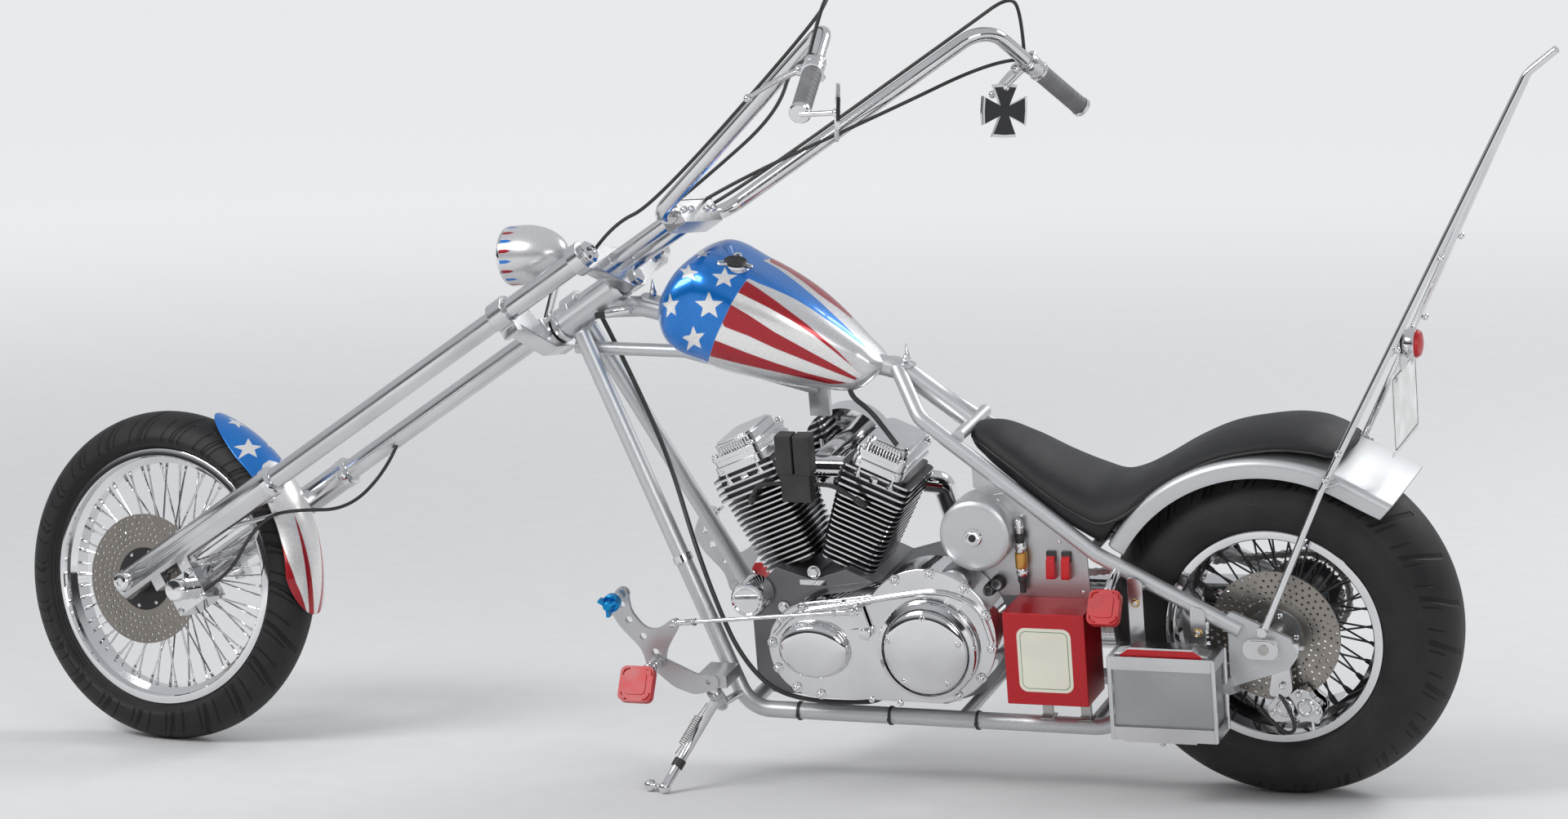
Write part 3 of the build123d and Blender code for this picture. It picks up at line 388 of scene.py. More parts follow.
def facing_out(made, weld=0.0, flat=0.0):
    """Turns all faces outwards, after welding close points and joining flat faces."""
    work = bmesh.new()
    work.from_mesh(made.data)
    if weld:
        bmesh.ops.remove_doubles(work, verts=work.verts, dist=weld)
    if flat:
        bmesh.ops.dissolve_limit(work, angle_limit=flat, verts=work.verts, edges=work.edges)
    bmesh.ops.recalc_face_normals(work, faces=work.faces)
    work.to_mesh(made.data)
    work.free()


def sharp_edges(made, degrees, bevel=0.0):
    """Keeps edges over an angle sharp, shades the rest smooth, and may round edges, in m."""
    made.data.polygons.foreach_set("use_smooth", [True] * len(made.data.polygons))
    made.data.set_sharp_from_angle(angle=math.radians(degrees))
    if bevel:
        edge = made.modifiers.new("edges", "BEVEL")
        edge.width = bevel
        edge.segments = 2
        edge.limit_method = "ANGLE"
        edge.angle_limit = math.radians(40)
        edge.harden_normals = True


def merged_copy(node, material, bevel):
    """A CAD node's shape as one welded mesh with smooth curved faces and softened edges."""
    made = new_object(node + "_skin", frame["nodes"][node].data.copy())
    facing_out(made, 2e-5, math.radians(1.0))
    made.data.materials.clear()
    made.data.materials.append(material)
    sharp_edges(made, 32.0, bevel)
    stand_for(made, node)


def square(axis):
    """Two unit vectors square to an axis and to each other."""
    axis = unit(axis)
    helper = np.array([0.0, 0, 1]) if abs(axis[2]) < 0.9 else np.array([1.0, 0, 0])
    side = unit(np.cross(helper, axis))
    return side, np.cross(axis, side)


def rounded(points, bend, steps=6, loop=False):
    """A path or closed outline whose corners are eased over a length near each corner."""
    points = np.asarray(points, float)
    count = len(points)
    made = []
    for number in range(count):
        corner = points[number]
        if not loop and number in (0, count - 1):
            made.append(corner[None])
            continue
        before = points[number - 1] - corner
        after = points[(number + 1) % count] - corner
        near = min(bend, 0.45 * np.linalg.norm(before))
        far = min(bend, 0.45 * np.linalg.norm(after))
        start = corner + unit(before) * near
        end = corner + unit(after) * far
        share = np.linspace(0, 1, steps)[:, None]
        made.append((1 - share) ** 2 * start + 2 * share * (1 - share) * corner + share**2 * end)
    return np.concatenate(made)


def dense(path, gap):
    """The path with points added so that no step is longer than a gap."""
    path = np.asarray(path, float)
    made = [path[:1]]
    for first, second in zip(path[:-1], path[1:]):
        steps = max(int(np.ceil(np.linalg.norm(second - first) / gap)), 1)
        share = np.linspace(0, 1, steps + 1)[1:, None]
        made.append(first + (second - first) * share)
    return np.concatenate(made)


def around(count, radius, turn=0.0):
    """Even points on a circle, from an angle."""
    angle = turn + TAU * np.arange(count) / count
    return np.stack([radius * np.cos(angle), radius * np.sin(angle)], 1)


def toothed(teeth, low, middle, high):
    """Outline of a sprocket: four points for each tooth, at three radii."""
    return around(teeth * 4, 1.0) * np.tile([low, middle, high, middle], teeth)[:, None]


class Batch:
    """Gathers closed shapes in one local frame, in mm, and makes them one object."""

    def __init__(self, place):
        self.place = place
        self.points = []
        self.faces = []
        self.paint = []
        self.count = 0
        self.ink = 0

    def add(self, points, faces, inks=None):
        """Adds points and faces, each face with the current or a given material number."""
        points = np.asarray(points, float).reshape(-1, 3)
        faces = [tuple(int(corner) + self.count for corner in face) for face in faces]
        self.points.append(points)
        self.faces += faces
        self.paint += [self.ink] * len(faces) if inks is None else list(inks)
        self.count += len(points)
        return self

    def skin(self, rings, loop=False, cap_ink=None):
        """Rings of points joined into a closed tube, with flat ends or wrapped round."""
        rings = np.asarray(rings, float)
        rows, columns = rings.shape[:2]
        faces = grid_faces(rows, columns, loop, True).tolist()
        inks = [self.ink] * len(faces)
        if not loop:
            faces += [list(range(columns))[::-1],
                      list(range((rows - 1) * columns, rows * columns))]
            inks += [self.ink if cap_ink is None else cap_ink] * 2
        return self.add(rings, faces, inks)

    def turned(self, profile, start=(0, 0, 0), axis=(0, 0, 1), segments=48, loop=False):
        """Turns (along, radius) pairs about an axis; a loop is a closed section."""
        side, up = square(axis)
        angle = np.linspace(0, TAU, segments, endpoint=False)
        circle = np.cos(angle)[:, None] * side + np.sin(angle)[:, None] * up
        profile = np.asarray(profile, float)
        radius = np.maximum(profile[:, 1], 0.02)
        rings = (np.asarray(start, float) + profile[:, :1, None] * unit(axis)
                 + radius[:, None, None] * circle)
        return self.skin(rings, loop)

    def rod(self, start, end, radius, segments=24, ease=0.0, end_radius=None):
        """A round bar between two points, with eased ends."""
        start, end = np.asarray(start, float), np.asarray(end, float)
        length = np.linalg.norm(end - start)
        last = radius if end_radius is None else end_radius
        if ease:
            profile = [(0, radius - ease), (ease * 0.3, radius - ease * 0.3), (ease, radius),
                       (length - ease, last), (length - ease * 0.3, last - ease * 0.3),
                       (length, last - ease)]
        else:
            profile = [(0, radius), (length, last)]
        return self.turned(profile, start, end - start, segments)

    def pin(self, x, z, start, end, radius, segments=24, ease=0.0):
        """A rod straight across, along Y."""
        return self.rod((x, start, z), (x, end, z), radius, segments, ease)

    def ball(self, centre, radius, axis=(0, 0, 1), segments=20, stretch=1.0):
        """A ball, or an egg stretched along an axis."""
        turn = np.linspace(-math.pi / 2, math.pi / 2, segments // 2 + 1)
        profile = np.stack([np.sin(turn) * radius * stretch, np.cos(turn) * radius], 1)
        return self.turned(profile, centre, axis, segments)

    def tube(self, path, radius, sides=14, flat=1.0):
        """Sweeps a circle, or an ellipse, along a path, square to it all the way."""
        path = np.asarray(path, float)
        heading = np.gradient(path, axis=0)
        heading /= np.linalg.norm(heading, axis=1)[:, None]
        side, _ = square(heading[0])
        angle = np.linspace(0, TAU, sides, endpoint=False)
        rings = []
        for point, direction, size in zip(path, heading, np.broadcast_to(radius, len(path))):
            side = unit(side - direction * (side @ direction))
            up = np.cross(direction, side)
            rings.append(point + size * (np.cos(angle)[:, None] * side
                                         + np.sin(angle)[:, None] * up * flat))
        return self.skin(rings)

    def slab(self, outline, start, across, along, thick, edge_ink=None):
        """A flat plate: an outline in two directions, given a thickness square to both."""
        outline = np.asarray(outline, float)
        across, along = unit(across), unit(along)
        lift = np.cross(across, along) * thick
        base = np.asarray(start, float) + outline[:, :1] * across + outline[:, 1:] * along
        rings = np.stack([base, base + lift])
        rows, columns = rings.shape[:2]
        faces = grid_faces(rows, columns, False, True).tolist()
        inks = [self.ink if edge_ink is None else edge_ink] * len(faces)
        faces += [list(range(columns))[::-1], list(range(columns, 2 * columns))]
        return self.add(rings, faces, inks + [self.ink] * 2)

    def box(self, low, high):
        """An upright box between two corners."""
        low, high = np.minimum(low, high), np.maximum(low, high)
        outline = [(low[0], low[1]), (high[0], low[1]), (high[0], high[1]), (low[0], high[1])]
        return self.slab(outline, (0, 0, low[2]), (1, 0, 0), (0, 1, 0), high[2] - low[2])

    def box_between(self, corner, across, along, up, size):
        """A turned box from one corner along three directions."""
        across, along, up = unit(across) * size[0], unit(along) * size[1], unit(up) * size[2]
        base = np.array([corner, corner + across, corner + across + along, corner + along])
        return self.skin(np.stack([base, base + up]))

    def nut(self, start, axis, across=9.0, height=7.0):
        """A six-sided head with an eased top."""
        profile = [(0, across), (height * 0.8, across), (height, across * 0.86)]
        return self.turned(profile, start, axis, 6)

    def bolt(self, start, axis, radius=5.0, height=5.0):
        """A domed cap screw with a socket."""
        profile = [(0, radius), (height * 0.6, radius), (height * 0.9, radius * 0.8),
                   (height, radius * 0.5), (height * 0.5, radius * 0.42), (height * 0.5, 0.0)]
        return self.turned(profile, start, axis, 12)

    def make(self, name, materials, node, bevel=0.0, degrees=35.0, replaced=False, slot=None,
             weld=0.0):
        """Makes the object on a node's body, in its place if it is replaced; bevel in mm."""
        materials = (materials,) if isinstance(materials, str) else materials
        made = new_mesh(name, self.place(np.concatenate(self.points)), self.faces, materials)
        made.data.polygons.foreach_set("material_index", self.paint)
        facing_out(made, weld)
        sharp_edges(made, degrees, bevel * MM)
        if replaced:
            stand_for(made, node)
        else:
            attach(made, body_of(node))
        return made


def sheet_metal(name, node, place, points, thickness, material, fields):
    """A grid of points in mm given a thickness inwards, with named fields stored on it."""
    made = new_mesh(name, place(points.reshape(-1, 3)), grid_faces(*points.shape[:2]).tolist(),
                    (material,))
    store(made, fields)
    facing_out(made)
    sharp_edges(made, 50)
    wall = made.modifiers.new("wall", "SOLIDIFY")
    wall.thickness = thickness * MM
    wall.offset = -1
    wall.use_rim = True
    stand_for(made, node)


# ---- patterns: signed distances to outlines, negative inside ------------------------------------

def outline_distance(where, outline):
    """Distance from points to a closed outline, negative inside it."""
    outline = np.asarray(outline, float)
    following = np.roll(outline, -1, axis=0)
    x, y = where[..., 0, None], where[..., 1, None]
    edge = following - outline
    offset_x, offset_y = x - outline[:, 0], y - outline[:, 1]
    share = (offset_x * edge[:, 0] + offset_y * edge[:, 1]) / (edge**2).sum(1)
    share = np.clip(share, 0, 1)
    gap = np.hypot(offset_x - share * edge[:, 0], offset_y - share * edge[:, 1]).min(-1)
    crosses = ((outline[:, 1] > y) != (following[:, 1] > y)) & (
        x < edge[:, 0] * (y - outline[:, 1]) / np.where(edge[:, 1] == 0, 1e-9, edge[:, 1])
        + outline[:, 0])
    inside = crosses.sum(-1) % 2 == 1
    return np.where(inside, -gap, gap)


def star_outline(centre, tip, turn=0.0, squeeze=(1.0, 0.0), inner=0.40):
    """Ten corners of a five-pointed star, turned, then squeezed along one direction."""
    angle = np.radians(90 + turn) + np.arange(10) * TAU / 10
    radius = np.where(np.arange(10) % 2 == 0, tip, tip * inner)
    shape = np.stack([radius * np.cos(angle), -radius * np.sin(angle)], 1)
    share, bearing = squeeze
    along = np.array([math.cos(math.radians(bearing)), math.sin(math.radians(bearing))])
    shape -= np.outer(shape @ along, along) * (1 - share)
    return shape + np.asarray(centre, float)


def joined(where, outlines):
    """Distance to the nearest of several outlines."""
    return np.min([outline_distance(where, outline) for outline in outlines], axis=0)


def picture(points):
    """Row points in m to their place in the 1920 by 1003 picture."""
    forward, image_right, image_up = camera_axes()
    offset = np.asarray(points, float) - (REAR_HUB + CAMERA_FROM_HUB)
    depth = offset @ forward
    focal = LENS / SENSOR * PICTURE[0]
    return np.stack([PICTURE[0] / 2 + focal * (offset @ image_right) / depth,
                     PICTURE[1] / 2 - focal * (offset @ image_up) / depth], -1)


def layered_paint(name, base, layers, edge):
    """Lacquer in layers: each stored field below nought shows its colour over those before."""
    shader = Shader(name)
    tint, gloss = shader.flakes(2600.0)
    tone = base
    for field, layer in layers:
        tone = shader.mix(shader.ramp(shader.field(field), -edge, edge, 1.0, 0.0), tone, layer)
    sparkle = shader.node("ShaderNodeHueSaturation")
    shader.link(shader.ramp(tint, 0, 1, 0.94, 1.06), sparkle.inputs["Value"])
    shader.link(tone, sparkle.inputs["Color"])
    shader.set(Base_Color=sparkle.outputs[0], Metallic=0.55,
               Roughness=shader.ramp(gloss, 0, 1, 0.22, 0.32),
               Coat_Weight=0.7, Coat_Roughness=0.04)
    shader.bump(shader.noise(60.0, 2.0), 0.02, 0.0004)
    return shader.material


PAINT_BLUE = colour(0.0, 0.17, 0.58)
PAINT_RED = colour(0.37, 0.003, 0.012)
PAINT_SILVER = colour(0.62, 0.62, 0.63)
PAINT_WHITE = colour(0.80, 0.79, 0.78)


# The nodes whose own shape is shown, by finish
NODE_FINISH = {
    "silver_paint": ("frame_spine", "frame_loop_left", "frame_loop_right"),
    "chrome": ("sissy_bar", "pushrod_tubes", "primary_cover", "air_cleaner", "exhaust",
               "stand_bracket", "side_stand", "front_axle", "handlebar", "front_caliper"),
    "polished": ("fork_leg_left", "fork_leg_right", "lower_tree", "top_tree"),
    "steel": ("rear_axle",),
    "cast": ("crankcase",),
}
# Rounding of the edges of plates and castings, in mm
NODE_EDGES = {"lower_tree": 2.0, "top_tree": 2.0, "front_caliper": 2.5, "stand_bracket": 1.5,
              "frame_loop_left": 1.5, "frame_loop_right": 1.5, "crankcase": 3.0,
              "primary_cover": 4.0}


# ---- smooth curves through table values ---------------------------------------------------------

def spaced(stations, rows, ease):
    """Places along a table's stations, closer together at both ends by a share."""
    even = np.linspace(0, 1, rows)
    share = ease * (1 - np.cos(math.pi * even)) / 2 + (1 - ease) * even
    return stations[0][0] + share * (stations[-1][0] - stations[0][0])


def squared(wave, power):
    """A wave made squarer by a power under one, its sign kept."""
    return np.sign(wave) * np.abs(wave) ** power


def curve_through(stations, places):
    """Smooth values between table rows: a cubic through each pair with averaged slopes."""
    stations = np.asarray(stations, float)
    x, values = stations[:, 0], stations[:, 1:]
    slope = np.gradient(values, x, axis=0)
    slot = np.clip(np.searchsorted(x, places) - 1, 0, len(x) - 2)
    width = (x[slot + 1] - x[slot])[:, None]
    share = (places - x[slot])[:, None] / width
    start, end = values[slot], values[slot + 1]
    rise = share**2 * (3 - 2 * share)
    return (start + (end - start) * rise
            + width * (share * (1 - share) ** 2 * slope[slot]
                       - share**2 * (1 - share) * slope[slot + 1]))


def tyre_rubber(name, half, repeats, shoulder, sweep):
    """Tyre rubber: curved grooves swept across the tread and coloured near black in them as
    painted shade, and fine rings on the wall.
    """
    shader = Shader(name)
    split = shader.node("ShaderNodeSeparateXYZ")
    shader.link(shader.field("local", "Vector"), split.inputs[0])
    along, up, across = split.outputs
    angle = shader.math("ARCTAN2", up, along)
    radius = shader.math("SQRT", shader.math("ADD", shader.times(along, along),
                                             shader.times(up, up)))
    share = shader.math("DIVIDE", shader.math("ABSOLUTE", across), half * MM)
    side = shader.times(shader.math("SIGN", across), math.pi / 2)
    bend = shader.times(shader.math("POWER", share, 1.6), sweep)
    turn = shader.math("ADD", shader.times(angle, repeats), shader.math("ADD", bend, side))
    long_groove = shader.ramp(shader.math("SINE", turn), 0.90, 0.975)
    short_turn = shader.math("ADD", shader.times(angle, repeats * 2), shader.times(bend, 1.7))
    short_groove = shader.times(shader.ramp(shader.math("SINE", short_turn), 0.93, 0.98),
                                shader.ramp(share, 0.55, 0.6))
    both = shader.math("MAXIMUM", long_groove, short_groove)
    band = shader.times(shader.ramp(share, 0.10, 0.14),
                        shader.ramp(radius, (shoulder - 6) * MM, shoulder * MM))
    cut = shader.times(both, band)
    wall = shader.ramp(radius, (shoulder - 8) * MM, (shoulder - 14) * MM)
    rings = shader.times(shader.math("SINE", shader.times(radius, 1800.0)),
                         shader.times(wall, 0.10))
    dust = shader.noise(18.0, 4.0)
    tone = shader.mix(shader.ramp(dust, 0.35, 0.75), colour(0.011, 0.011, 0.012),
                      colour(0.024, 0.023, 0.022))
    # Grooves are coloured near black: painted shade in the recesses, on top of the bump that cuts
    # them in
    shader.set(Base_Color=shader.mix(cut, tone, colour(0.002, 0.002, 0.002)),
               Roughness=shader.ramp(dust, 0.3, 0.7, 0.5, 0.66), Specular_IOR_Level=0.35)
    grain = shader.times(shader.noise(700.0, 2.0), 0.06)
    height = shader.math("SUBTRACT", shader.math("ADD", rings, grain), cut)
    shader.bump(height, 0.9, 0.003)
    return shader.material


# Rims: radius of the flange and half width; and how deep the drop centre lies under it
FRONT_RIM, REAR_RIM, DROP = (254.8, 41.0), (205.5, 102.5), 31.0
# Tyres: node, frame, radius, half width, radius of the crown, rim, radius at which the tread
# ends, and sweep of its grooves
TYRES = (
    ("front_tyre", FORK, 326.2, 62, 62.0, FRONT_RIM, 272, 3.4),
    ("rear_tyre", REAR, 331.0, 118, 130.0, REAR_RIM, 292, 4.6),
)


class ChopperWheels(bpy.types.PropertyGroup):
    """Wheels and tyres."""

    segments: bpy.props.IntProperty(
        name="Segments", description="Steps round each rim and tyre", default=144, min=24)
    groove_repeats: bpy.props.IntProperty(
        name="Tread repeats", description="Long tread grooves round each tyre", default=22, min=4)
    hole_cells: bpy.props.IntProperty(
        name="Disc holes", description="Holes round each row of a brake disc", default=44, min=8)


def add_rim(batch, radius, half, segments):
    """A rolled rim: flange beads, seats and a drop centre, turned as one closed loop."""
    outer = [(half, radius - 2.4), (half - 0.8, radius - 0.8), (half - 2.2, radius - 0.3),
             (half - 3.6, radius - 1.0), (half - 4, radius - 3), (half - 4, radius - 12),
             (half - 6, radius - 14), (half * 0.52, radius - 14), (half * 0.36, radius - 28)]
    inner = [(half * 0.36, radius - DROP), (half * 0.5, radius - 18),
             (half - 2, radius - 17.5), (half, radius - 15.5)]
    outer += [(-along, out) for along, out in reversed(outer)]
    inner = [(-along, out) for along, out in reversed(inner)] + inner
    batch.turned(outer + inner, segments=segments, loop=True)


def add_spokes(batch, flange_radius, flange_half, rim_radius, rim_offset):
    """Crossing rows of round spokes with nipples at the rim and heads at the hub."""
    count = 60
    rim_inner = rim_radius - DROP
    for number in range(count):
        angle = TAU * number / count
        side = 1 if number % 2 else -1
        cross = math.radians(14.0 if number % 4 < 2 else -14.0)
        depth = flange_half + (2.6 if cross > 0 else -2.6)
        foot = np.array([flange_radius * math.cos(angle + cross),
                         flange_radius * math.sin(angle + cross), side * depth])
        top = np.array([rim_inner * math.cos(angle), rim_inner * math.sin(angle),
                        side * rim_offset])
        line = unit(top - foot)
        batch.rod(foot - line * 3, top + line * 1, 2.0, 8)
        batch.rod(top - line * 13, top + line * 2, 3.3, 8, ease=0.8)
        batch.ball(foot, 3.2, line, 8)


def add_disc(batch, middle, thick, inner, first, rows, outer, cells, hole):
    """A brake disc: each hole sits in its own polar cell, rows turned by half a cell."""
    step = TAU / cells
    edges = np.linspace(first, outer, rows + 1)

    def at(radius, angle, height):
        return np.stack([radius * np.cos(angle), radius * np.sin(angle),
                         np.full_like(angle, height)], -1)

    def strip(one, two):
        count = len(one)
        batch.add(np.concatenate([one, two]),
                  [(k, (k + 1) % count, count + (k + 1) % count, count + k)
                   for k in range(count)])

    low, high = middle - thick / 2, middle + thick / 2
    ring = np.arange(cells * 4) * step / 4
    for height in (low, high):
        strip(at(inner, ring, height), at(first, ring, height))
    for radius in (inner, outer):
        strip(at(radius, ring, low), at(radius, ring, high))
    side = np.arange(4) / 4
    border = np.concatenate([np.stack([side, np.zeros(4)], 1), np.stack([np.ones(4), side], 1),
                             np.stack([1 - side, np.ones(4)], 1),
                             np.stack([np.zeros(4), 1 - side], 1)])
    bearing = np.arctan2(border[:, 1] - 0.5, border[:, 0] - 0.5)
    for row in range(rows):
        centre_radius = (edges[row] + edges[row + 1]) / 2
        for cell in range(cells):
            start = (cell + 0.5 * (row % 2)) * step
            turn = start + border[:, 0] * step
            radius = edges[row] + border[:, 1] * (edges[row + 1] - edges[row])
            hole_turn = start + step / 2 + hole * np.cos(bearing) / centre_radius
            hole_radius = centre_radius + hole * np.sin(bearing)
            for height in (low, high):
                strip(at(radius, turn, height), at(hole_radius, hole_turn, height))
            strip(at(hole_radius, hole_turn, low), at(hole_radius, hole_turn, high))


def make_tyre(node, place, radius, half, crown, rim_radius, rim_half, material, segments):
    """The tyre wall turned round the axle, with its local place stored for the tread."""
    wall = 12.0
    shoulder = radius - crown + math.sqrt(crown**2 - (half - 2) ** 2)
    lower = rim_radius + 8
    waist = (half + rim_half) / 2
    across = np.linspace(-(half - 2), half - 2, 33)
    tread = np.stack([across, radius - crown + np.sqrt(crown**2 - across**2)], 1)
    turn = np.linspace(0, math.pi, 13)[1:-1]
    bulge = np.stack([half - 2 + 2 * np.sin(turn) + (waist - half + 2) * (turn / math.pi) ** 2,
                      shoulder + (lower - shoulder) * turn / math.pi], 1)
    bead = np.array([(waist, lower), (rim_half - 1, rim_radius + 2.5),
                     (rim_half - 3.5, rim_radius - 1), (rim_half - 4.6, rim_radius - 13.6),
                     (rim_half - 16, rim_radius - 13.6), (half - wall, lower + 6),
                     (half - wall - 2, shoulder - 10)])
    right = np.concatenate([bulge, bead])
    left = right[::-1] * (-1, 1)
    inside = across[4:-4] * 0.9
    inside = np.stack([inside, radius - crown - wall + np.sqrt(crown**2 - inside**2)], 1)
    section = np.concatenate([tread, right, inside[::-1], left])
    angle = np.linspace(0, TAU, segments, endpoint=False)
    local = np.stack([section[:, None, 1] * np.cos(angle), section[:, None, 1] * np.sin(angle),
                      np.broadcast_to(section[:, :1], (len(section), segments))], -1)
    quads = grid_faces(len(section), segments, True, True)
    made = new_mesh(node + "_skin", place(local.reshape(-1, 3)), quads.tolist(), (material,))
    stored = made.data.attributes.new("local", "FLOAT_VECTOR", "POINT")
    stored.data.foreach_set("vector", (local * MM).ravel())
    facing_out(made)
    sharp_edges(made, 60)
    stand_for(made, node)


def front_wheel(segments, cells):
    """The front wheel: chrome, with a black middle to its disc."""
    wheel = Batch(FORK)
    add_rim(wheel, *FRONT_RIM, segments)
    add_spokes(wheel, 34.0, 30.0, FRONT_RIM[0], 6.0)
    wheel.turned([(-60, 12), (-60, 26), (-38, 27), (-38, 39), (-36.5, 40), (-25.5, 40),
                  (-24, 39), (-22, 27), (-16, 24), (16, 24), (22, 27), (24, 39), (25.5, 40),
                  (36.5, 40), (38, 39), (38, 27), (60, 26), (60, 12)], segments=72, loop=True)
    wheel.ink = 2
    add_disc(wheel, -95.0, 5.0, 60.0, 72.0, 5, 128.0, cells, 2.9)
    wheel.ink = 1
    wheel.turned([(-99, 12), (-99, 40), (-97.8, 62), (-92.2, 62), (-88, 50), (-60, 34),
                  (-50, 34), (-50, 12)], segments=72, loop=True)
    wheel.ink = 0
    for x, y in around(8, 54):
        wheel.bolt((x, y, -97.5), (0, 0, -1), 4.2, 4.0)
    wheel.make("front_wheel_skin", ("chrome", "black_metal", "disc_steel"), "front_wheel",
               replaced=True, weld=4e-6)


def rear_wheel(segments, cells):
    """The rear wheel: chrome rim, black spokes and hub, disc and sprocket."""
    wheel = Batch(REAR)
    add_rim(wheel, *REAR_RIM, segments)
    wheel.ink = 2
    add_disc(wheel, -93.5, 5.0, 52.0, 66.0, 5, 124.0, cells, 2.9)
    wheel.ink = 0
    wheel.turned([(125, 12), (125, 46), (131, 46), (131, 12)], segments=72, loop=True)
    wheel.slab(toothed(48, 74.0, 76.5, 78.0), (0, 0, 125.5), X, Y, 5)
    wheel.ink = 1
    add_spokes(wheel, 44.0, 52.0, REAR_RIM[0], 14.0)
    wheel.turned([(-93.5, 12), (-93.5, 30), (-92, 32), (-60, 32), (-60, 49), (-58.5, 50),
                  (-44, 50), (-36, 30), (36, 30), (44, 50), (58.5, 50), (60, 49), (60, 34),
                  (126, 34), (126, 12)], segments=72, loop=True)
    wheel.ink = 0
    wheel.turned([(-98, 12), (-98, 40), (-97, 54), (-91, 54), (-90, 40), (-90, 12)],
                 segments=72, loop=True)
    for x, y in around(5, 42):
        for height, way in ((-97.5, -1), (131, 1)):
            wheel.bolt((x, y, height), (0, 0, way), 5.0, 5.0)
    wheel.make("rear_wheel_skin", ("chrome", "black_metal", "disc_steel"), "rear_wheel",
               replaced=True, weld=4e-6)


class CHOPPER_OT_wheels(bpy.types.Operator):
    """Makes both spoked wheels with drilled discs, and both tyres"""

    bl_idname = "chopper.wheels"
    bl_label = "Wheels and tyres"

    def execute(self, context):
        settings = context.scene.chopper_wheels
        segments = settings.segments
        cells = settings.hole_cells
        for node, place, radius, half, crown, rim, shoulder, sweep in TYRES:
            rubber = tyre_rubber(node.replace("tyre", "tread"), half, settings.groove_repeats,
                                 shoulder, sweep)
            make_tyre(node, place, radius, half, crown, *rim, rubber, segments)
        front_wheel(segments, cells)
        rear_wheel(segments, cells)
        return {"FINISHED"}


# ---- fuel tank --------------------------------------------------------------------------------

# Stations of the tank: x, height of its top and of its bottom, half width
TANK_STATIONS = [
    (-1189, 898, 894, 3), (-1184, 908, 886, 26), (-1161, 954, 855, 86), (-1080, 1025, 803, 119),
    (-985, 992, 777, 115), (-870, 925, 759, 88), (-790, 855, 762, 50), (-752, 817, 793, 25),
    (-742, 808, 802, 3),
]
# The tank's pattern is drawn in the plane of the picture, from this corner and at this scale
PATTERN_CORNER, PATTERN_SCALE = (790, 280), 5.058
# Stars: middle, radius of the tips, turn in degrees, and squeeze with its direction
TANK_STARS = (((395, 478), 95, 0, (1.0, 0)), ((158, 480), 88, 6, (0.66, 0)),
              ((300, 683), 90, 6, (0.86, 30)), ((490, 305), 86, -4, (0.82, 90)),
              ((268, 272), 74, -6, (0.72, 110)), ((355, 155), 62, 4, (0.5, 80)))
# Edges between the stripes, from the top down: red, white, red, white, red
TANK_EDGES = [
    [(625, 322), (700, 370), (800, 440), (1000, 590), (1200, 765), (1355, 920)],
    [(575, 395), (760, 487), (900, 565), (1050, 665), (1200, 785), (1350, 915)],
    [(530, 470), (640, 535), (800, 640), (1000, 750), (1200, 860), (1345, 945)],
    [(470, 600), (640, 665), (800, 740), (1000, 820), (1200, 900), (1345, 955)],
    [(430, 690), (620, 765), (800, 830), (1000, 895), (1200, 945), (1340, 970)],
    [(400, 790), (600, 840), (800, 885), (1000, 930), (1150, 965), (1310, 978)],
]
# Edge of the blue field in front
BLUE_EDGE = [(690, 200), (650, 290), (625, 322), (575, 395), (530, 470), (470, 600), (430, 690),
             (400, 790), (385, 840), (300, 1000)]
# The blue panel on top: x, its middle and its half width
TANK_PANEL = [(-1010, -20, 50), (-960, -22, 45), (-900, -25, 28), (-850, -27, 17), (-800, -25, 7),
              (-765, -19, 0)]
# The red stripe that shows on the tank's far shoulder
FAR_STRIPE = [(775, 207), (878, 259), (982, 331), (1085, 414), (1188, 486), (1281, 558),
              (1281, 300), (740, -100)]
# Powers of sine and cosine that square the tank's section, over and under its middle
TANK_SQUARE = (0.62, 0.85)


class ChopperTank(bpy.types.PropertyGroup):
    """Painted fuel tank and its cap."""

    rows: bpy.props.IntProperty(
        name="Rows", description="Sections along the tank", default=190, min=24)
    columns: bpy.props.IntProperty(
        name="Columns", description="Points round each section", default=176, min=24)
    cap_radius: bpy.props.FloatProperty(
        name="Cap radius", description="Radius of the filler cap", default=0.027, min=0.01,
        unit="LENGTH")


def drawing_plane(points):
    """Local points in mm to the plane in which the pattern's outlines are drawn."""
    flat = (picture(BIKE(points.reshape(-1, 3))) - PATTERN_CORNER) * PATTERN_SCALE
    return flat.reshape(points.shape[:2] + (2,))


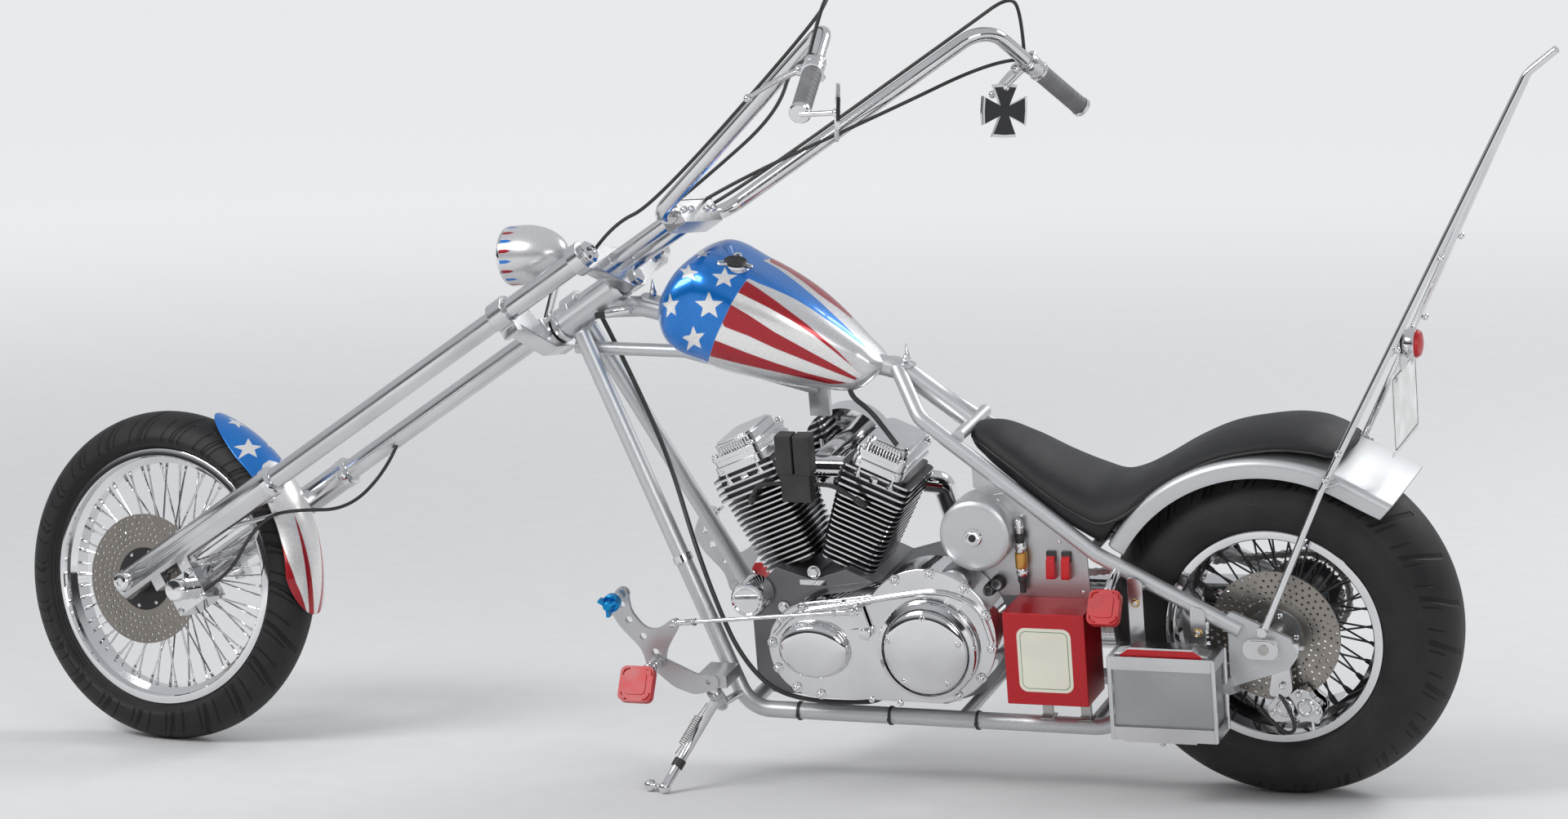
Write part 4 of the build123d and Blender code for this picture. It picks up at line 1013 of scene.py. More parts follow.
class CHOPPER_OT_tank(bpy.types.Operator):
    """Makes the teardrop tank with its stars and tapering stripes, and the cap"""

    bl_idname = "chopper.tank"
    bl_label = "Fuel tank"

    def execute(self, context):
        settings = context.scene.chopper_tank
        x = spaced(TANK_STATIONS, settings.rows, 0.55)
        top, bottom, half = curve_through(TANK_STATIONS, x).T
        half, middle = np.maximum(half, 2.0), (top + bottom) / 2
        turn = np.linspace(0, TAU, settings.columns, endpoint=False)
        tall = np.maximum(top - bottom, 4.0) / 2
        power = np.where(np.cos(turn) > 0, *TANK_SQUARE)
        rings = np.stack([
            np.broadcast_to(x[:, None], (len(x), len(turn))),
            half[:, None] * squared(np.sin(turn), power),
            middle[:, None] + tall[:, None] * squared(np.cos(turn), power)], -1)
        near_side = np.stack([rings[..., 0], -np.abs(rings[..., 1]), rings[..., 2]], -1)
        where = drawing_plane(near_side)
        direct = drawing_plane(rings)

        blue_area = BLUE_EDGE + [(-400, 1400), (-400, -400), (690, -400)]
        stars = [star_outline(*star) for star in TANK_STARS]
        stripes = [outline_distance(where, upper + lower[::-1])
                   for upper, lower in zip(TANK_EDGES[:-1], TANK_EDGES[1:])]
        over = rings[..., 2] > middle[:, None]
        panel_x, panel_middle, panel_wide = np.array(TANK_PANEL).T
        panel = 3 * (np.abs(rings[..., 1] - np.interp(rings[..., 0], panel_x, panel_middle))
                     - np.interp(rings[..., 0], panel_x, panel_wide))
        panel = np.where(over, panel, OUTSIDE)
        beyond = over & (rings[..., 1] > 0) & (rings[..., 1] < 0.8 * half[:, None])
        far_stripe = np.where(beyond, outline_distance(direct, FAR_STRIPE), OUTSIDE)
        fields = {
            "blue": outline_distance(where, blue_area),
            "stars": joined(where, stars),
            "red": np.min([*stripes[::2], far_stripe], axis=0),
            "white": np.min(stripes[1::2], axis=0),
            "panel": panel,
        }
        under = (bottom[:, None] + 26 - rings[..., 2]) * 3
        for name in ("red", "white"):
            fields[name] = np.maximum(fields[name], under * 0.5)
        paint = layered_paint("tank_paint", PAINT_SILVER, (
            ("white", PAINT_WHITE), ("red", PAINT_RED), ("panel", PAINT_BLUE),
            ("blue", PAINT_BLUE), ("stars", PAINT_WHITE)), 1.6)
        store(Batch(BIKE).skin(rings).make("tank_skin", (paint,), "fuel_tank", degrees=60,
                                           replaced=True, slot="tank_paint"), fields)

        metal = Batch(BIKE)
        for spike_x, spike_z, low, high in (
                (-1204, 926.8, (-1228, 925), (-1160, 907.3)),
                (-706, 811.6, (-742, 813), (-692, 798))):
            along = unit((high[0] - low[0], 0, high[1] - low[1]))
            length = math.hypot(high[0] - low[0], high[1] - low[1])
            outline = rounded([(0, -17), (length, -17), (length, 17), (0, 17)], 14, loop=True)
            metal.slab(outline, (low[0], 0, low[1]), along, Y, 5)
            metal.ink = 1
            metal.nut((spike_x, 0, spike_z), Z, 8.0, 6.0)
            metal.turned([(0, 6.5), (4, 6.5), (6, 5.2), (26, 0.9), (28, 0.3)],
                         (spike_x, 0, spike_z + 6), Z, 20)
            metal.ink = 0
        metal.make("tank_mounts", ("silver_paint", "chrome"), "fuel_tank", degrees=30)

        cap = Batch(BIKE)
        radius = settings.cap_radius / MM
        axis = unit((0.20, -0.10, 1.0))
        base = np.array([-1015.5, -46.7, 999.0])
        side, up = square(axis)
        cap.turned([(0, radius), (3, radius), (5, radius - 3), (9, radius - 4), (9, 0)], base,
                   axis, 48)
        for number in range(3):
            angle = TAU * (number / 3 + 0.20)
            way = math.cos(angle) * side + math.sin(angle) * up
            cross = np.cross(axis, way)
            loop = rounded([(10, -6, 11), (radius + 9, -5, 12), (radius + 9, 5, 12), (10, 6, 11)],
                           5)
            bar = base + loop[:, :1] * way + loop[:, 1:2] * cross + loop[:, 2:] * axis
            cap.tube(dense(bar, 2), 2.9, 10)
        cap.ink = 1
        cap.turned([(9, 22), (14, 22), (15.5, 20), (15.5, 17.5), (14, 17), (14, 14.5), (15.5, 14),
                    (15.5, 11.5), (14, 11), (14, 8.5), (15.5, 8), (15.5, 5), (14, 4.5), (14, 0)],
                   base, axis, 40)
        cap.make("tank_cap", ("chrome", "black_plastic"), "fuel_cap", replaced=True)
        return {"FINISHED"}


# ---- fenders ----------------------------------------------------------------------------------

# Front fender: the angle of each end and the length of its tongue
FENDER_ENDS = ((-39, 150.0), (43, 96.0))
# Outlines of its pattern: angle and distance from the middle
FENDER_STRIPE = [(8, 31), (14.5, 33), (22, 33), (29, 31), (36.5, 26.5), (45, 17)]
FENDER_STRIPE_IN = [(8, 30.5), (14.5, 28), (22, 24), (29, 19.5), (36.5, 13.5), (45, 3)]
FENDER_EDGE = [(14, 70), (17, 66), (24, 61), (32, 50), (40, 31), (45, 18)]
FENDER_BLUE = [(-8, 70), (-9.5, 48), (-11.2, 38), (-11.8, 21), (-9.9, 2)]


class ChopperFenders(bpy.types.PropertyGroup):
    """Front and rear fenders."""

    rows: bpy.props.IntProperty(
        name="Rows", description="Steps along each fender", default=200, min=24)
    columns: bpy.props.IntProperty(
        name="Columns", description="Steps across each fender", default=96, min=12)
    tail_flip: bpy.props.FloatProperty(
        name="Tail flip", description="Rise of the rear fender's tail", default=0.012, min=0.0,
        unit="LENGTH")


def front_fender(settings):
    """A shallow arch over the tyre whose ends narrow to rounded tongues."""
    inner, half = 340.2, 66.0
    angle = np.radians(spaced(FENDER_ENDS, settings.rows, 0.4))
    width = np.full(len(angle), half)
    for end, length in FENDER_ENDS:
        away = np.abs(angle - math.radians(end)) * inner
        near = away < length
        width[near] = np.minimum(width[near], (half + 1) * np.sqrt(np.maximum(
            1 - ((length - away[near]) / length) ** 2, 0.0004)))
    column = np.linspace(-1, 1, settings.columns)
    across = width[:, None] * column
    radius = inner + 4 - 30 * (across / half) ** 2
    points = np.stack([radius * np.cos(angle)[:, None], radius * np.sin(angle)[:, None],
                       across], -1)
    where = np.stack([np.broadcast_to(angle[:, None] * inner, across.shape), np.abs(across)], -1)

    def unrolled(outline):
        return [(math.radians(at) * inner, value) for at, value in outline]

    blue = unrolled(FENDER_BLUE) + [(math.radians(-9.9) * inner, -40), (-400, -40), (-400, 70)]
    stripe = unrolled(FENDER_STRIPE) + unrolled(FENDER_STRIPE_IN)[::-1]
    edge = unrolled(FENDER_EDGE) + [(math.radians(44) * inner, 90), (math.radians(14) * inner, 90)]
    stars = [star_outline((math.radians(-19.0) * inner, 38.0), 30, 54, (0.9, 0)),
             star_outline((math.radians(-31.0) * inner, 0), 22, 90)]
    fields = {
        "blue": outline_distance(where, blue),
        "red": np.minimum(outline_distance(where, stripe), outline_distance(where, edge)),
        "stars": joined(where, stars),
    }
    paint = layered_paint("front_fender_paint", PAINT_WHITE, (
        ("red", PAINT_RED), ("blue", PAINT_BLUE), ("stars", PAINT_WHITE)), 0.5)
    sheet_metal("front_fender_skin", "front_fender", FORK, points, 3.2, paint,
                fields)
    struts = Batch(FORK)
    for side in (-1, 1):
        for one, two in (((222, 14, side * 116), (316, 40, side * 63)),
                         ((262, 8, side * 116), (324, 8, side * 62))):
            struts.rod(one, two, 5.0, 16)
            struts.nut(two, np.subtract(two, one), 7.5, 5.0)
    struts.make("fender_struts", "polished", "front_fender")


def rear_fender(settings):
    """A wide arch with rounded shoulders, rolled skirts and a slight rise at the tail."""
    share = np.linspace(0, 1, settings.rows)
    angle = np.radians(210 + 102 * share)
    flip = settings.tail_flip / MM * np.clip((share - 0.86) / 0.14, 0, 1) ** 2
    bend = np.linspace(0, math.pi / 2, 9)
    corner = np.stack([126 - 16 + 16 * np.cos(bend), 331 + 16 * np.sin(bend)], 1)
    skirt = np.array([(123.5, 313.0), (125.4, 311.8), (126.0, 314.0), (126, 322)])
    crown = np.linspace(105, 0, 22)
    crown = np.stack([crown, 354.0 - 7.0 * (crown / 110) ** 2], 1)
    right = np.concatenate([skirt, corner, crown])
    section = np.concatenate([right, right[-2::-1] * (-1, 1)])
    radius = section[None, :, 1] + flip[:, None]
    points = np.stack([radius * np.cos(angle)[:, None], radius * np.sin(angle)[:, None],
                       np.broadcast_to(section[None, :, 0], radius.shape)], -1)
    sheet_metal("rear_fender_skin", "rear_fender", REAR, points, 2.6, "silver_paint",
                {})
    tabs = Batch(BIKE)
    for side in (-1, 1):
        tabs.box((-330, side * 60 - 12, 497), (-296, side * 60 + 12, 503))
        tabs.nut((-312, side * 60, 503), Z, 8, 6)
    tabs.make("fender_tabs", "silver_paint", "rear_fender")


class CHOPPER_OT_fenders(bpy.types.Operator):
    """Makes the tongue-shaped front fender with its stars and stripes, and the rear fender"""

    bl_idname = "chopper.fenders"
    bl_label = "Fenders"

    def execute(self, context):
        settings = context.scene.chopper_fenders
        front_fender(settings)
        rear_fender(settings)
        return {"FINISHED"}


# ---- seat -------------------------------------------------------------------------------------

# Stations of the seat: x, top edge height, half width, thickness at the middle
SEAT_STATIONS = [
    (-588, 690, 12, 14), (-578, 694, 32, 30), (-546, 696, 60, 58), (-480, 672, 88, 80),
    (-415, 638, 106, 92), (-360, 614, 119, 100), (-310, 600, 126, 104), (-270, 610, 123, 96),
    (-226, 632, 116, 76), (-165, 668, 111, 60), (-100, 698, 109, 50), (-30, 714, 108, 44),
    (42, 720, 107, 40), (90, 713, 101, 38), (125, 698, 86, 30), (140, 688, 62, 20),
    (146, 680, 24, 8),
]


class ChopperSeat(bpy.types.PropertyGroup):
    """Padded leather seat."""

    rows: bpy.props.IntProperty(
        name="Rows", description="Sections along the seat", default=150, min=24)
    columns: bpy.props.IntProperty(
        name="Columns", description="Points round each section", default=96, min=16)
    crown: bpy.props.FloatProperty(
        name="Crown", description="Drop of the cushion towards its edges", default=0.016,
        min=0.0, unit="LENGTH")
    leather: bpy.props.FloatVectorProperty(
        name="Leather", description="Colour of the cover", default=(0.011, 0.011, 0.012),
        size=3, min=0.0, max=1.0, subtype="COLOR")


class CHOPPER_OT_seat(bpy.types.Operator):
    """Makes the seat: full rounded sections along a dip and a rise, with a welt at the edge"""

    bl_idname = "chopper.seat"
    bl_label = "Seat"

    def execute(self, context):
        settings = context.scene.chopper_seat
        x = spaced(SEAT_STATIONS, settings.rows, 0.5)
        top, half, thick = curve_through(SEAT_STATIONS, x).T
        half, thick = np.maximum(half, 5.0), np.maximum(thick, 5.0)
        turn = np.linspace(0, TAU, settings.columns, endpoint=False)
        wide, high = squared(np.sin(turn), 0.55), squared(np.cos(turn), 0.62)
        crown = settings.crown / MM
        y = half[:, None] * wide
        z = top[:, None] - thick[:, None] / 2 * (1 - high)
        z = z - crown * wide**2 * (high > 0) * (half / 125)[:, None]
        over = 331.0 + np.sqrt(np.maximum(356.0**2 - x**2, 0.0))
        rise = np.clip((x + 345) / 30, 0, 1)[:, None]
        floor = over[:, None] - 2.0 * (1 + high)
        z = np.where((high < 0) & (z < floor), z * (1 - rise) + floor * rise, z)
        rings = np.stack([np.broadcast_to(x[:, None], y.shape), y, z], -1)
        shader = Shader("seat_leather")
        leather = colour(*settings.leather)
        cloud = shader.noise(14.0, 4.0)
        tone = shader.mix(shader.ramp(cloud, 0.35, 0.75), leather, toned(leather, 1.7))
        pebble = shader.cells(520.0, "DISTANCE_TO_EDGE", "Distance")
        shader.set(Base_Color=tone, Roughness=shader.ramp(cloud, 0.3, 0.7, 0.44, 0.58),
                   Specular_IOR_Level=0.4)
        shader.bump(shader.math("ADD", shader.ramp(pebble, 0.0, 0.25),
                                shader.times(shader.noise(28.0, 4.0), 2.0)),
                    0.35, 0.0006)
        made = Batch(BIKE).skin(rings).make("seat_cover", (shader.material,), "seat", degrees=80,
                                            replaced=True, slot="seat_cover")
        welt = Batch(BIKE)
        drop = crown * (half / 125) + thick * 0.36
        for side in (-1, 1):
            welt.tube(np.stack([x, side * (half + 0.5), top - drop], 1)[4:-4], 2.6, 8)
        welt.make("seat_welt", "black_plastic", "seat", degrees=60)
        return {"FINISHED"}


# ---- headlight --------------------------------------------------------------------------------

class ChopperHeadlight(bpy.types.PropertyGroup):
    """Headlight shell, trim and lens."""

    columns: bpy.props.IntProperty(
        name="Columns", description="Points round the shell", default=360, min=36)
    fingers: bpy.props.IntProperty(
        name="Fingers", description="Painted points round the rim", default=18, min=2)


class CHOPPER_OT_headlight(bpy.types.Operator):
    """Makes the bullet headlight with painted points behind its rim, and its lens"""

    bl_idname = "chopper.headlight"
    bl_label = "Headlight"

    def execute(self, context):
        settings = context.scene.chopper_headlight
        back = np.array([1126.0, -64, 0])
        axis = unit((-0.885, -0.465, 0))
        bend = np.linspace(0.02, 1, 30)
        shell = np.stack([92 * (1 - np.cos(bend * math.pi / 2)) ** 0.92,
                          57.8 * np.sin(bend * math.pi / 2) ** 0.96], 1)
        front = np.linspace(94, 118, 24)
        shell = np.concatenate([shell, np.stack([front, np.full(24, 57.8)], 1)])
        shell = np.concatenate([shell, [(119, 57), (119, 50), (104, 48), (92, 36), (84, 14)]])
        turn = np.linspace(0, TAU, settings.columns, endpoint=False)
        side, up = square(axis)
        circle = np.cos(turn)[:, None] * side + np.sin(turn)[:, None] * up
        rings = back + shell[:, :1, None] * axis + shell[:, 1, None, None] * circle
        step = TAU / settings.fingers
        number = np.round(turn / step)
        offset = np.abs(turn - number * step) * 57.8
        behind = 117 - shell[:, 0]
        width = np.where(behind < 15, 3.3, 3.3 * (1 - (behind - 15) / 12))
        inside = offset[None, :] - width[:, None]
        inside = np.where((behind > 28)[:, None], 9.0, inside)
        odd = (number % 2 == 1)[None, :]
        fields = {"red": np.where(odd, 9.0, inside), "blue": np.where(odd, inside, 9.0)}
        paint = layered_paint("headlight_paint", PAINT_SILVER, (
            ("red", PAINT_RED), ("blue", PAINT_BLUE)), 0.35)
        store(Batch(FORK).skin(rings).make("headlight_shell", (paint,), "headlight", degrees=40,
                                           replaced=True, slot="tank_paint"), fields)
        trim = Batch(FORK)
        trim.turned([(117.5, 53), (117.5, 58), (120, 58.6), (123, 57.6), (124, 55.5), (123, 53)],
                    back, axis, 96, loop=True)
        post = back + axis * 50
        trim.rod(post + np.array([10.0, 44, 0]), (1012, 27, 0), 8.0, 24)
        trim.ball(back + axis * 46 + np.array([6.0, 46, 0]), 13, axis, 20)
        trim.make("headlight_trim", "chrome", "headlight")
        bowl = Batch(FORK)
        bowl.turned([(56, 6), (62, 24), (78, 42), (104, 50.0), (110, 51.0), (110, 49.6),
                     (78, 40), (63, 22), (58, 6)], back, axis, 72, loop=True)
        bowl.ball(back + axis * 72, 7, axis, 16, 1.4)
        bowl.make("headlight_bowl", "chrome", "headlight")
        lens = Batch(FORK)
        lens.turned([(111, 0), (111, 50), (112, 52.6), (118, 52.8), (120.5, 40), (122, 22),
                     (122.6, 0)], back, axis, 72)
        lens.make("headlight_glass", (clear_glass(),), "headlight_lens", degrees=50, replaced=True)
        return {"FINISHED"}


# ---- engine -----------------------------------------------------------------------------------

# The crankshaft's place, and each cylinder's turn from upright
CRANK = np.array([-890.0, 0.0, 290.0])
CYLINDER_TURN = math.radians(22.5)
# Layers of a rocker box: half width, half depth, corner, height over the crank and thickness
ROCKER_BOX = ((85, 52, 16, 352, 16), (81, 49, 15, 368, 11), (84, 51, 15, 379, 9),
              (65, 42, 16, 388, 18), (60, 37, 14, 406, 4))


def rounded_box(half_wide, half_deep, corner, steps=5):
    """Outline of a rectangle with rounded corners."""
    made = []
    for number, (sign_x, sign_y) in enumerate(((1, 1), (-1, 1), (-1, -1), (1, -1))):
        for share in np.linspace(0, math.pi / 2, steps):
            angle = share + number * math.pi / 2
            made.append((sign_x * (half_wide - corner) + corner * math.cos(angle),
                         sign_y * (half_deep - corner) + corner * math.sin(angle)))
    return np.array(made)


def cut_outline(outline, limit, keep_over):
    """The part of a convex outline whose second value lies over, or under, a limit."""
    made = []
    sign = 1 if keep_over else -1
    for first, second in zip(outline, np.roll(outline, -1, axis=0)):
        gap, following = sign * (first[1] - limit), sign * (second[1] - limit)
        if gap >= 0:
            made.append(first)
        if gap * following < 0:
            made.append(first + (second - first) * gap / (gap - following))
    return np.array(made)


class ChopperEngine(bpy.types.PropertyGroup):
    """Finned V-twin."""

    fins: bpy.props.IntProperty(
        name="Fins", description="Cooling fins on each barrel", default=14, min=4)
    fin_thickness: bpy.props.FloatProperty(
        name="Fin thickness", description="Thickness of a barrel fin", default=0.0032,
        min=0.001, unit="LENGTH")
    edge_tone: bpy.props.FloatVectorProperty(
        name="Edge tone", description="Bare metal of the machined fin edges",
        default=(0.72, 0.72, 0.73), size=3, min=0.0, max=1.0, subtype="COLOR")


def bore(sense):
    """Axis, forward and cross directions of one cylinder."""
    up = np.array([sense * math.sin(CYLINDER_TURN), 0.0, math.cos(CYLINDER_TURN)])
    cross = np.array([0.0, 1.0, 0.0])
    return up, cross, np.cross(up, cross)


def add_fin(batch, sense, height, half_wide, half_deep, thick, corner, edge_ink):
    """A flat fin across one cylinder, cut back from the one on the other cylinder."""
    up, cross, ahead = bore(sense)
    outline = rounded_box(half_wide, half_deep, corner)
    lean = math.sin(CYLINDER_TURN) * height
    limit = (3 - lean) / math.cos(CYLINDER_TURN)
    outline = cut_outline(outline, limit if sense < 0 else -limit, sense < 0)
    batch.slab(outline, CRANK + up * height, cross, ahead, thick, edge_ink)


def primary_trim():
    """Domes, an oval cover, a raised rib and the bolts of the primary cover."""
    trim = Batch(BIKE)
    derby = np.array([-636.0, -213.5, 312.0])
    trim.turned([(0, 80), (3, 80), (6, 77), (9, 66), (11, 45), (12, 20), (12.2, 0)], derby,
                LEFT, 72)
    trim.turned([(-14, 84), (-14, 94), (-11, 96), (-6, 94), (-2, 86)],
                derby + (0, -2, 0), LEFT, 72, loop=True)
    for x, z in around(5, 70, 0.3):
        trim.bolt(derby + (x, -5, z), LEFT, 6.0, 5.0)
    oval = around(56, 1.0) * (68, 53)
    trim.skin(np.array([
        np.insert(oval * grow + (-861, 302), 1, -200.0 - out, axis=1)
        for out, grow in ((0, 1.0), (4, 1.0), (8, 0.97), (12, 0.88), (14.5, 0.7), (16, 0.4),
                          (16.4, 0.02))]))
    bolts = [(-636, 335, 124, angle) for angle in (118, 85, 52, 22, -8, -38, -66)]
    bolts += [(-860, 299, 87, angle) for angle in (104, 138, 172, 206, 240, 272)]
    for x, z, radius, degrees in bolts:
        turn = math.radians(degrees)
        spot = np.array([x + radius * math.cos(turn), -190.0, z + radius * math.sin(turn)])
        trim.turned([(-4, 10), (2, 10), (3.5, 8.5), (3.5, 0)], spot, LEFT, 20)
        trim.bolt(spot + (0, -3.5, 0), LEFT, 6.0, 6.0)
    for x, z in ((-788, 388), (-748, 400), (-756, 206), (-700, 202)):
        trim.bolt((x, -190, z), LEFT, 6.0, 6.0)
    rib = rounded([(-938, -193, 330), (-900, -193, 372), (-800, -193, 390), (-700, -193, 412),
                   (-600, -193, 428), (-530, -193, 398), (-512, -193, 330)], 60, 8)
    trim.tube(dense(rib, 6), 5.0, 12)
    window = rounded([(-800, 340), (-772, 346), (-752, 346), (-756, 318), (-790, 312)], 8,
                     loop=True)
    trim.slab(window, (0, -190, 0), X, Z, 3)
    trim.make("primary_trim", "chrome", "primary_cover", degrees=40)


def small_parts():
    """Coil with its leads, case plugs, filter cap and canister nut."""
    dark = Batch(BIKE)
    for shift in (0, 36):
        dark.box((-936 + shift, -126, 620), (-904 + shift, -92, 696))
    dark.box((-930, -124, 566), (-872, -94, 622))
    for start, middle, end in (
            ((-926, -112, 600), (-976, -128, 600), (-998, -98, 566)),
            ((-876, -112, 600), (-822, -128, 604), (-790, -98, 566))):
        path = rounded([start, middle, end], 70, 14)
        dark.tube(dense(path, 5), 4.2, 10)
        heading = unit(path[-1] - path[-2])
        dark.rod(path[-1] - heading * 6, path[-1] + heading * 22, 7.0, 16, ease=2)
    dark.make("coil", "black_plastic", "coil_unit", bevel=1.5, replaced=True)
    bright = Batch(BIKE)
    bright.turned([(0, 33), (2, 34.5), (52, 34.5), (56, 33), (60, 30), (61, 26), (59.5, 24),
                   (59.5, 0)], (-1001, -106, 381), LEFT, 64)
    bright.make("filter_can", "chrome", "oil_filter", degrees=30, replaced=True)
    can = Batch(BIKE)
    can.turned([(0, 60), (3, 66), (8, 68.6), (78, 68.6), (84, 67), (88, 62), (89.5, 56),
                (90, 0)], (-548, -62, 520), LEFT, 96)
    can.ink = 1
    can.turned([(88, 17), (92, 17), (94, 15), (94, 7), (88, 7)], (-548, -62, 520), LEFT, 40, True)
    can.nut((-548, -154, 520), LEFT, 13, 6)
    can.ink = 2
    can.turned([(0, 7.2), (1.2, 7.2), (1.2, 0)], (-548, -159.6, 520), LEFT, 24)
    can.make("canister", ("silver_paint", "chrome", "black_metal"), "oil_canister",
             degrees=30, replaced=True)
    case = Batch(BIKE)
    for x, y, z, radius in ((-884, -106, 424, 10), (-950, -106, 352, 8)):
        case.nut((x, y, z), LEFT, radius, 7)
        case.turned([(0, radius + 3), (1.5, radius + 3), (1.5, 0)], (x, y, z), LEFT, 24)
    case.box((-914, -106, 398), (-862, -104, 408))
    for x, z in around(5, 78, 0.2) + (-874, 300):
        case.bolt((x, 134, z), Y, 5.5, 5)
    case.turned([(0, 62), (4, 62), (8, 54), (10, 40), (10, 0)], (-874, 134, 300), Y, 56)
    case.turned([(0, 78), (5, 80), (8, 76), (8, 0)], (-890, 182, 590), Y, 72)
    case.bolt((-890, 190, 590), Y, 9, 6)
    case.make("case_trim", "chrome", "crankcase", degrees=40)


class CHOPPER_OT_engine(bpy.types.Operator):
    """Makes barrels, heads, rocker boxes, covers and their bolts"""

    bl_idname = "chopper.engine"
    bl_label = "Engine"

    def execute(self, context):
        settings = context.scene.chopper_engine
        thick = settings.fin_thickness / MM
        bright = worn_metal("fin_edges", colour(*settings.edge_tone), 0.2)
        barrels = Batch(BIKE)
        heads = Batch(BIKE)
        covers = Batch(BIKE)
        for sense in (-1, 1):
            up, cross, ahead = bore(sense)
            barrels.rod(CRANK + up * 136, CRANK + up * 300, 48.0, 40)
            for number in range(settings.fins):
                share = number / (settings.fins - 1)
                height = 148 + share * 141
                add_fin(barrels, sense, height, 75, 56 + 12 * share, thick, 20, 1)
            for number in range(4):
                add_fin(heads, sense, 302 + number * 12.5, 82 - number * 2, 71, 4.2, 12, 1)
            outline = rounded_box(73, 58, 12)
            heads.slab(outline, CRANK + up * 300, cross, ahead, 52)
            for side in (-1, 1):
                for place in (-34, 0, 34):
                    foot = CRANK + up * 330 + cross * side * 76 + ahead * place
                    heads.ink = 2
                    if place:
                        heads.nut(foot, up, 7.0, 6.0)
                        heads.turned([(0, 5.2), (4, 4.4), (27, 0.8), (28, 0.2)], foot + up * 6,
                                     up, 16)
                    else:
                        heads.nut(foot, up, 9.0, 10.0)
                    heads.ink = 0
            for half_wide, half_deep, corner, height, tall in ROCKER_BOX:
                covers.slab(rounded_box(half_wide, half_deep, corner), CRANK + up * height,
                            cross, ahead, tall)
            for number in range(11):
                place = -30 + 6 * number
                start = CRANK + up * 388 + ahead * (place - 1.3)
                for side in (-1, 1):
                    covers.box_between(start + cross * side * 52, cross * side, ahead, up,
                                       (20, 2.6, 15))
            for side in (-1, 1):
                for place in (-40, 40):
                    covers.bolt(CRANK + up * 388 + cross * side * 76 + ahead * place, up, 6.0, 7.0)
                    covers.bolt(CRANK + up * 360 + cross * side * 85 + ahead * place * 0.9,
                                cross * side, 4.0, 3.0)
        barrels.make("barrels", ("black_metal", bright), "cylinders", replaced=True, degrees=30)
        heads.make("heads", ("black_metal", bright, "chrome"), "cylinder_heads", replaced=True,
                   degrees=30)
        covers.make("rocker_boxes", "chrome", "cylinders", bevel=1.2, degrees=30)
        primary_trim()
        small_parts()
        return {"FINISHED"}


# ---- boxes, lamp and plate --------------------------------------------------------------------

class ChopperBoxes(bpy.types.PropertyGroup):
    """Boxes, switches, lamp and number plate."""

    label_tone: bpy.props.FloatVectorProperty(
        name="Label", description="Colour of the blank label on the side box",
        default=(0.80, 0.77, 0.66), size=3, min=0.0, max=1.0, subtype="COLOR")
    edge: bpy.props.FloatProperty(
        name="Box edges", description="Rounding of the boxes' edges", default=0.0025, min=0.0,
        unit="LENGTH")


def battery_box():
    """Satin box between two polished bands with round corner posts and a lidded lip."""
    box = Batch(BIKE)
    box.box((-268, -242, 176), (-80, -171, 332))
    box.ink = 1
    for low, high in ((172, 198), (308, 334)):
        box.box((-274, -248, low), (-74, -166, high))
        box.box((-274, -249, high - 3), (-74, -165, high))
    for x, y in ((-272, -246), (-76, -246), (-76, -168), (-272, -168)):
        box.rod((x, y, 174), (x, y, 332), 4.5, 16)
    lip = [(-262, 332), (-86, 332), (-86, 338), (-104, 341), (-116, 350), (-232, 350),
           (-244, 341), (-262, 338)]
    box.slab(lip, (0, -206, 0), X, Z, 36)
    box.box((-256, -232, 163), (-118, -190, 170))
    for x in (-238, -122):
        top = 470 - 0.45 * (x + 268)
        plate = rounded([(x - 14, 300), (x + 14, 300), (x + 14, top - 6), (x + 4, top + 2),
                         (x - 14, top + 2)], 7, 4, loop=True)
        box.slab(plate, (0, -166, 0), X, Z, 4)
        box.box((x - 14, -168, top - 26), (x + 14, -140, top - 20))
    box.ink = 2
    box.slab([(-252, 334), (-96, 334), (-98, 337), (-112, 346.5), (-236, 346.5),
              (-250, 337)], (0, -242.0, 0), X, Z, 0.8)
    box.ink = 3
    for x in (-238, -122):
        top = 470 - 0.45 * (x + 268)
        box.turned([(0, 8.5), (2, 8.5), (2.6, 7), (2.6, 0)], (x, -170, top - 46), LEFT, 24)
    box.ink = 1
    for x in (-238, -122):
        box.bolt((x, -172.5, 424 - 0.45 * (x + 268)), LEFT, 4.5, 3)
    box.rod((-190, -210, 150), (-190, -210, 163), 5, 16)
    box.make("battery", ("satin", "polished", "red_paint", "brass"), "battery_box",
             bevel=1.0, replaced=True, slot="polished")


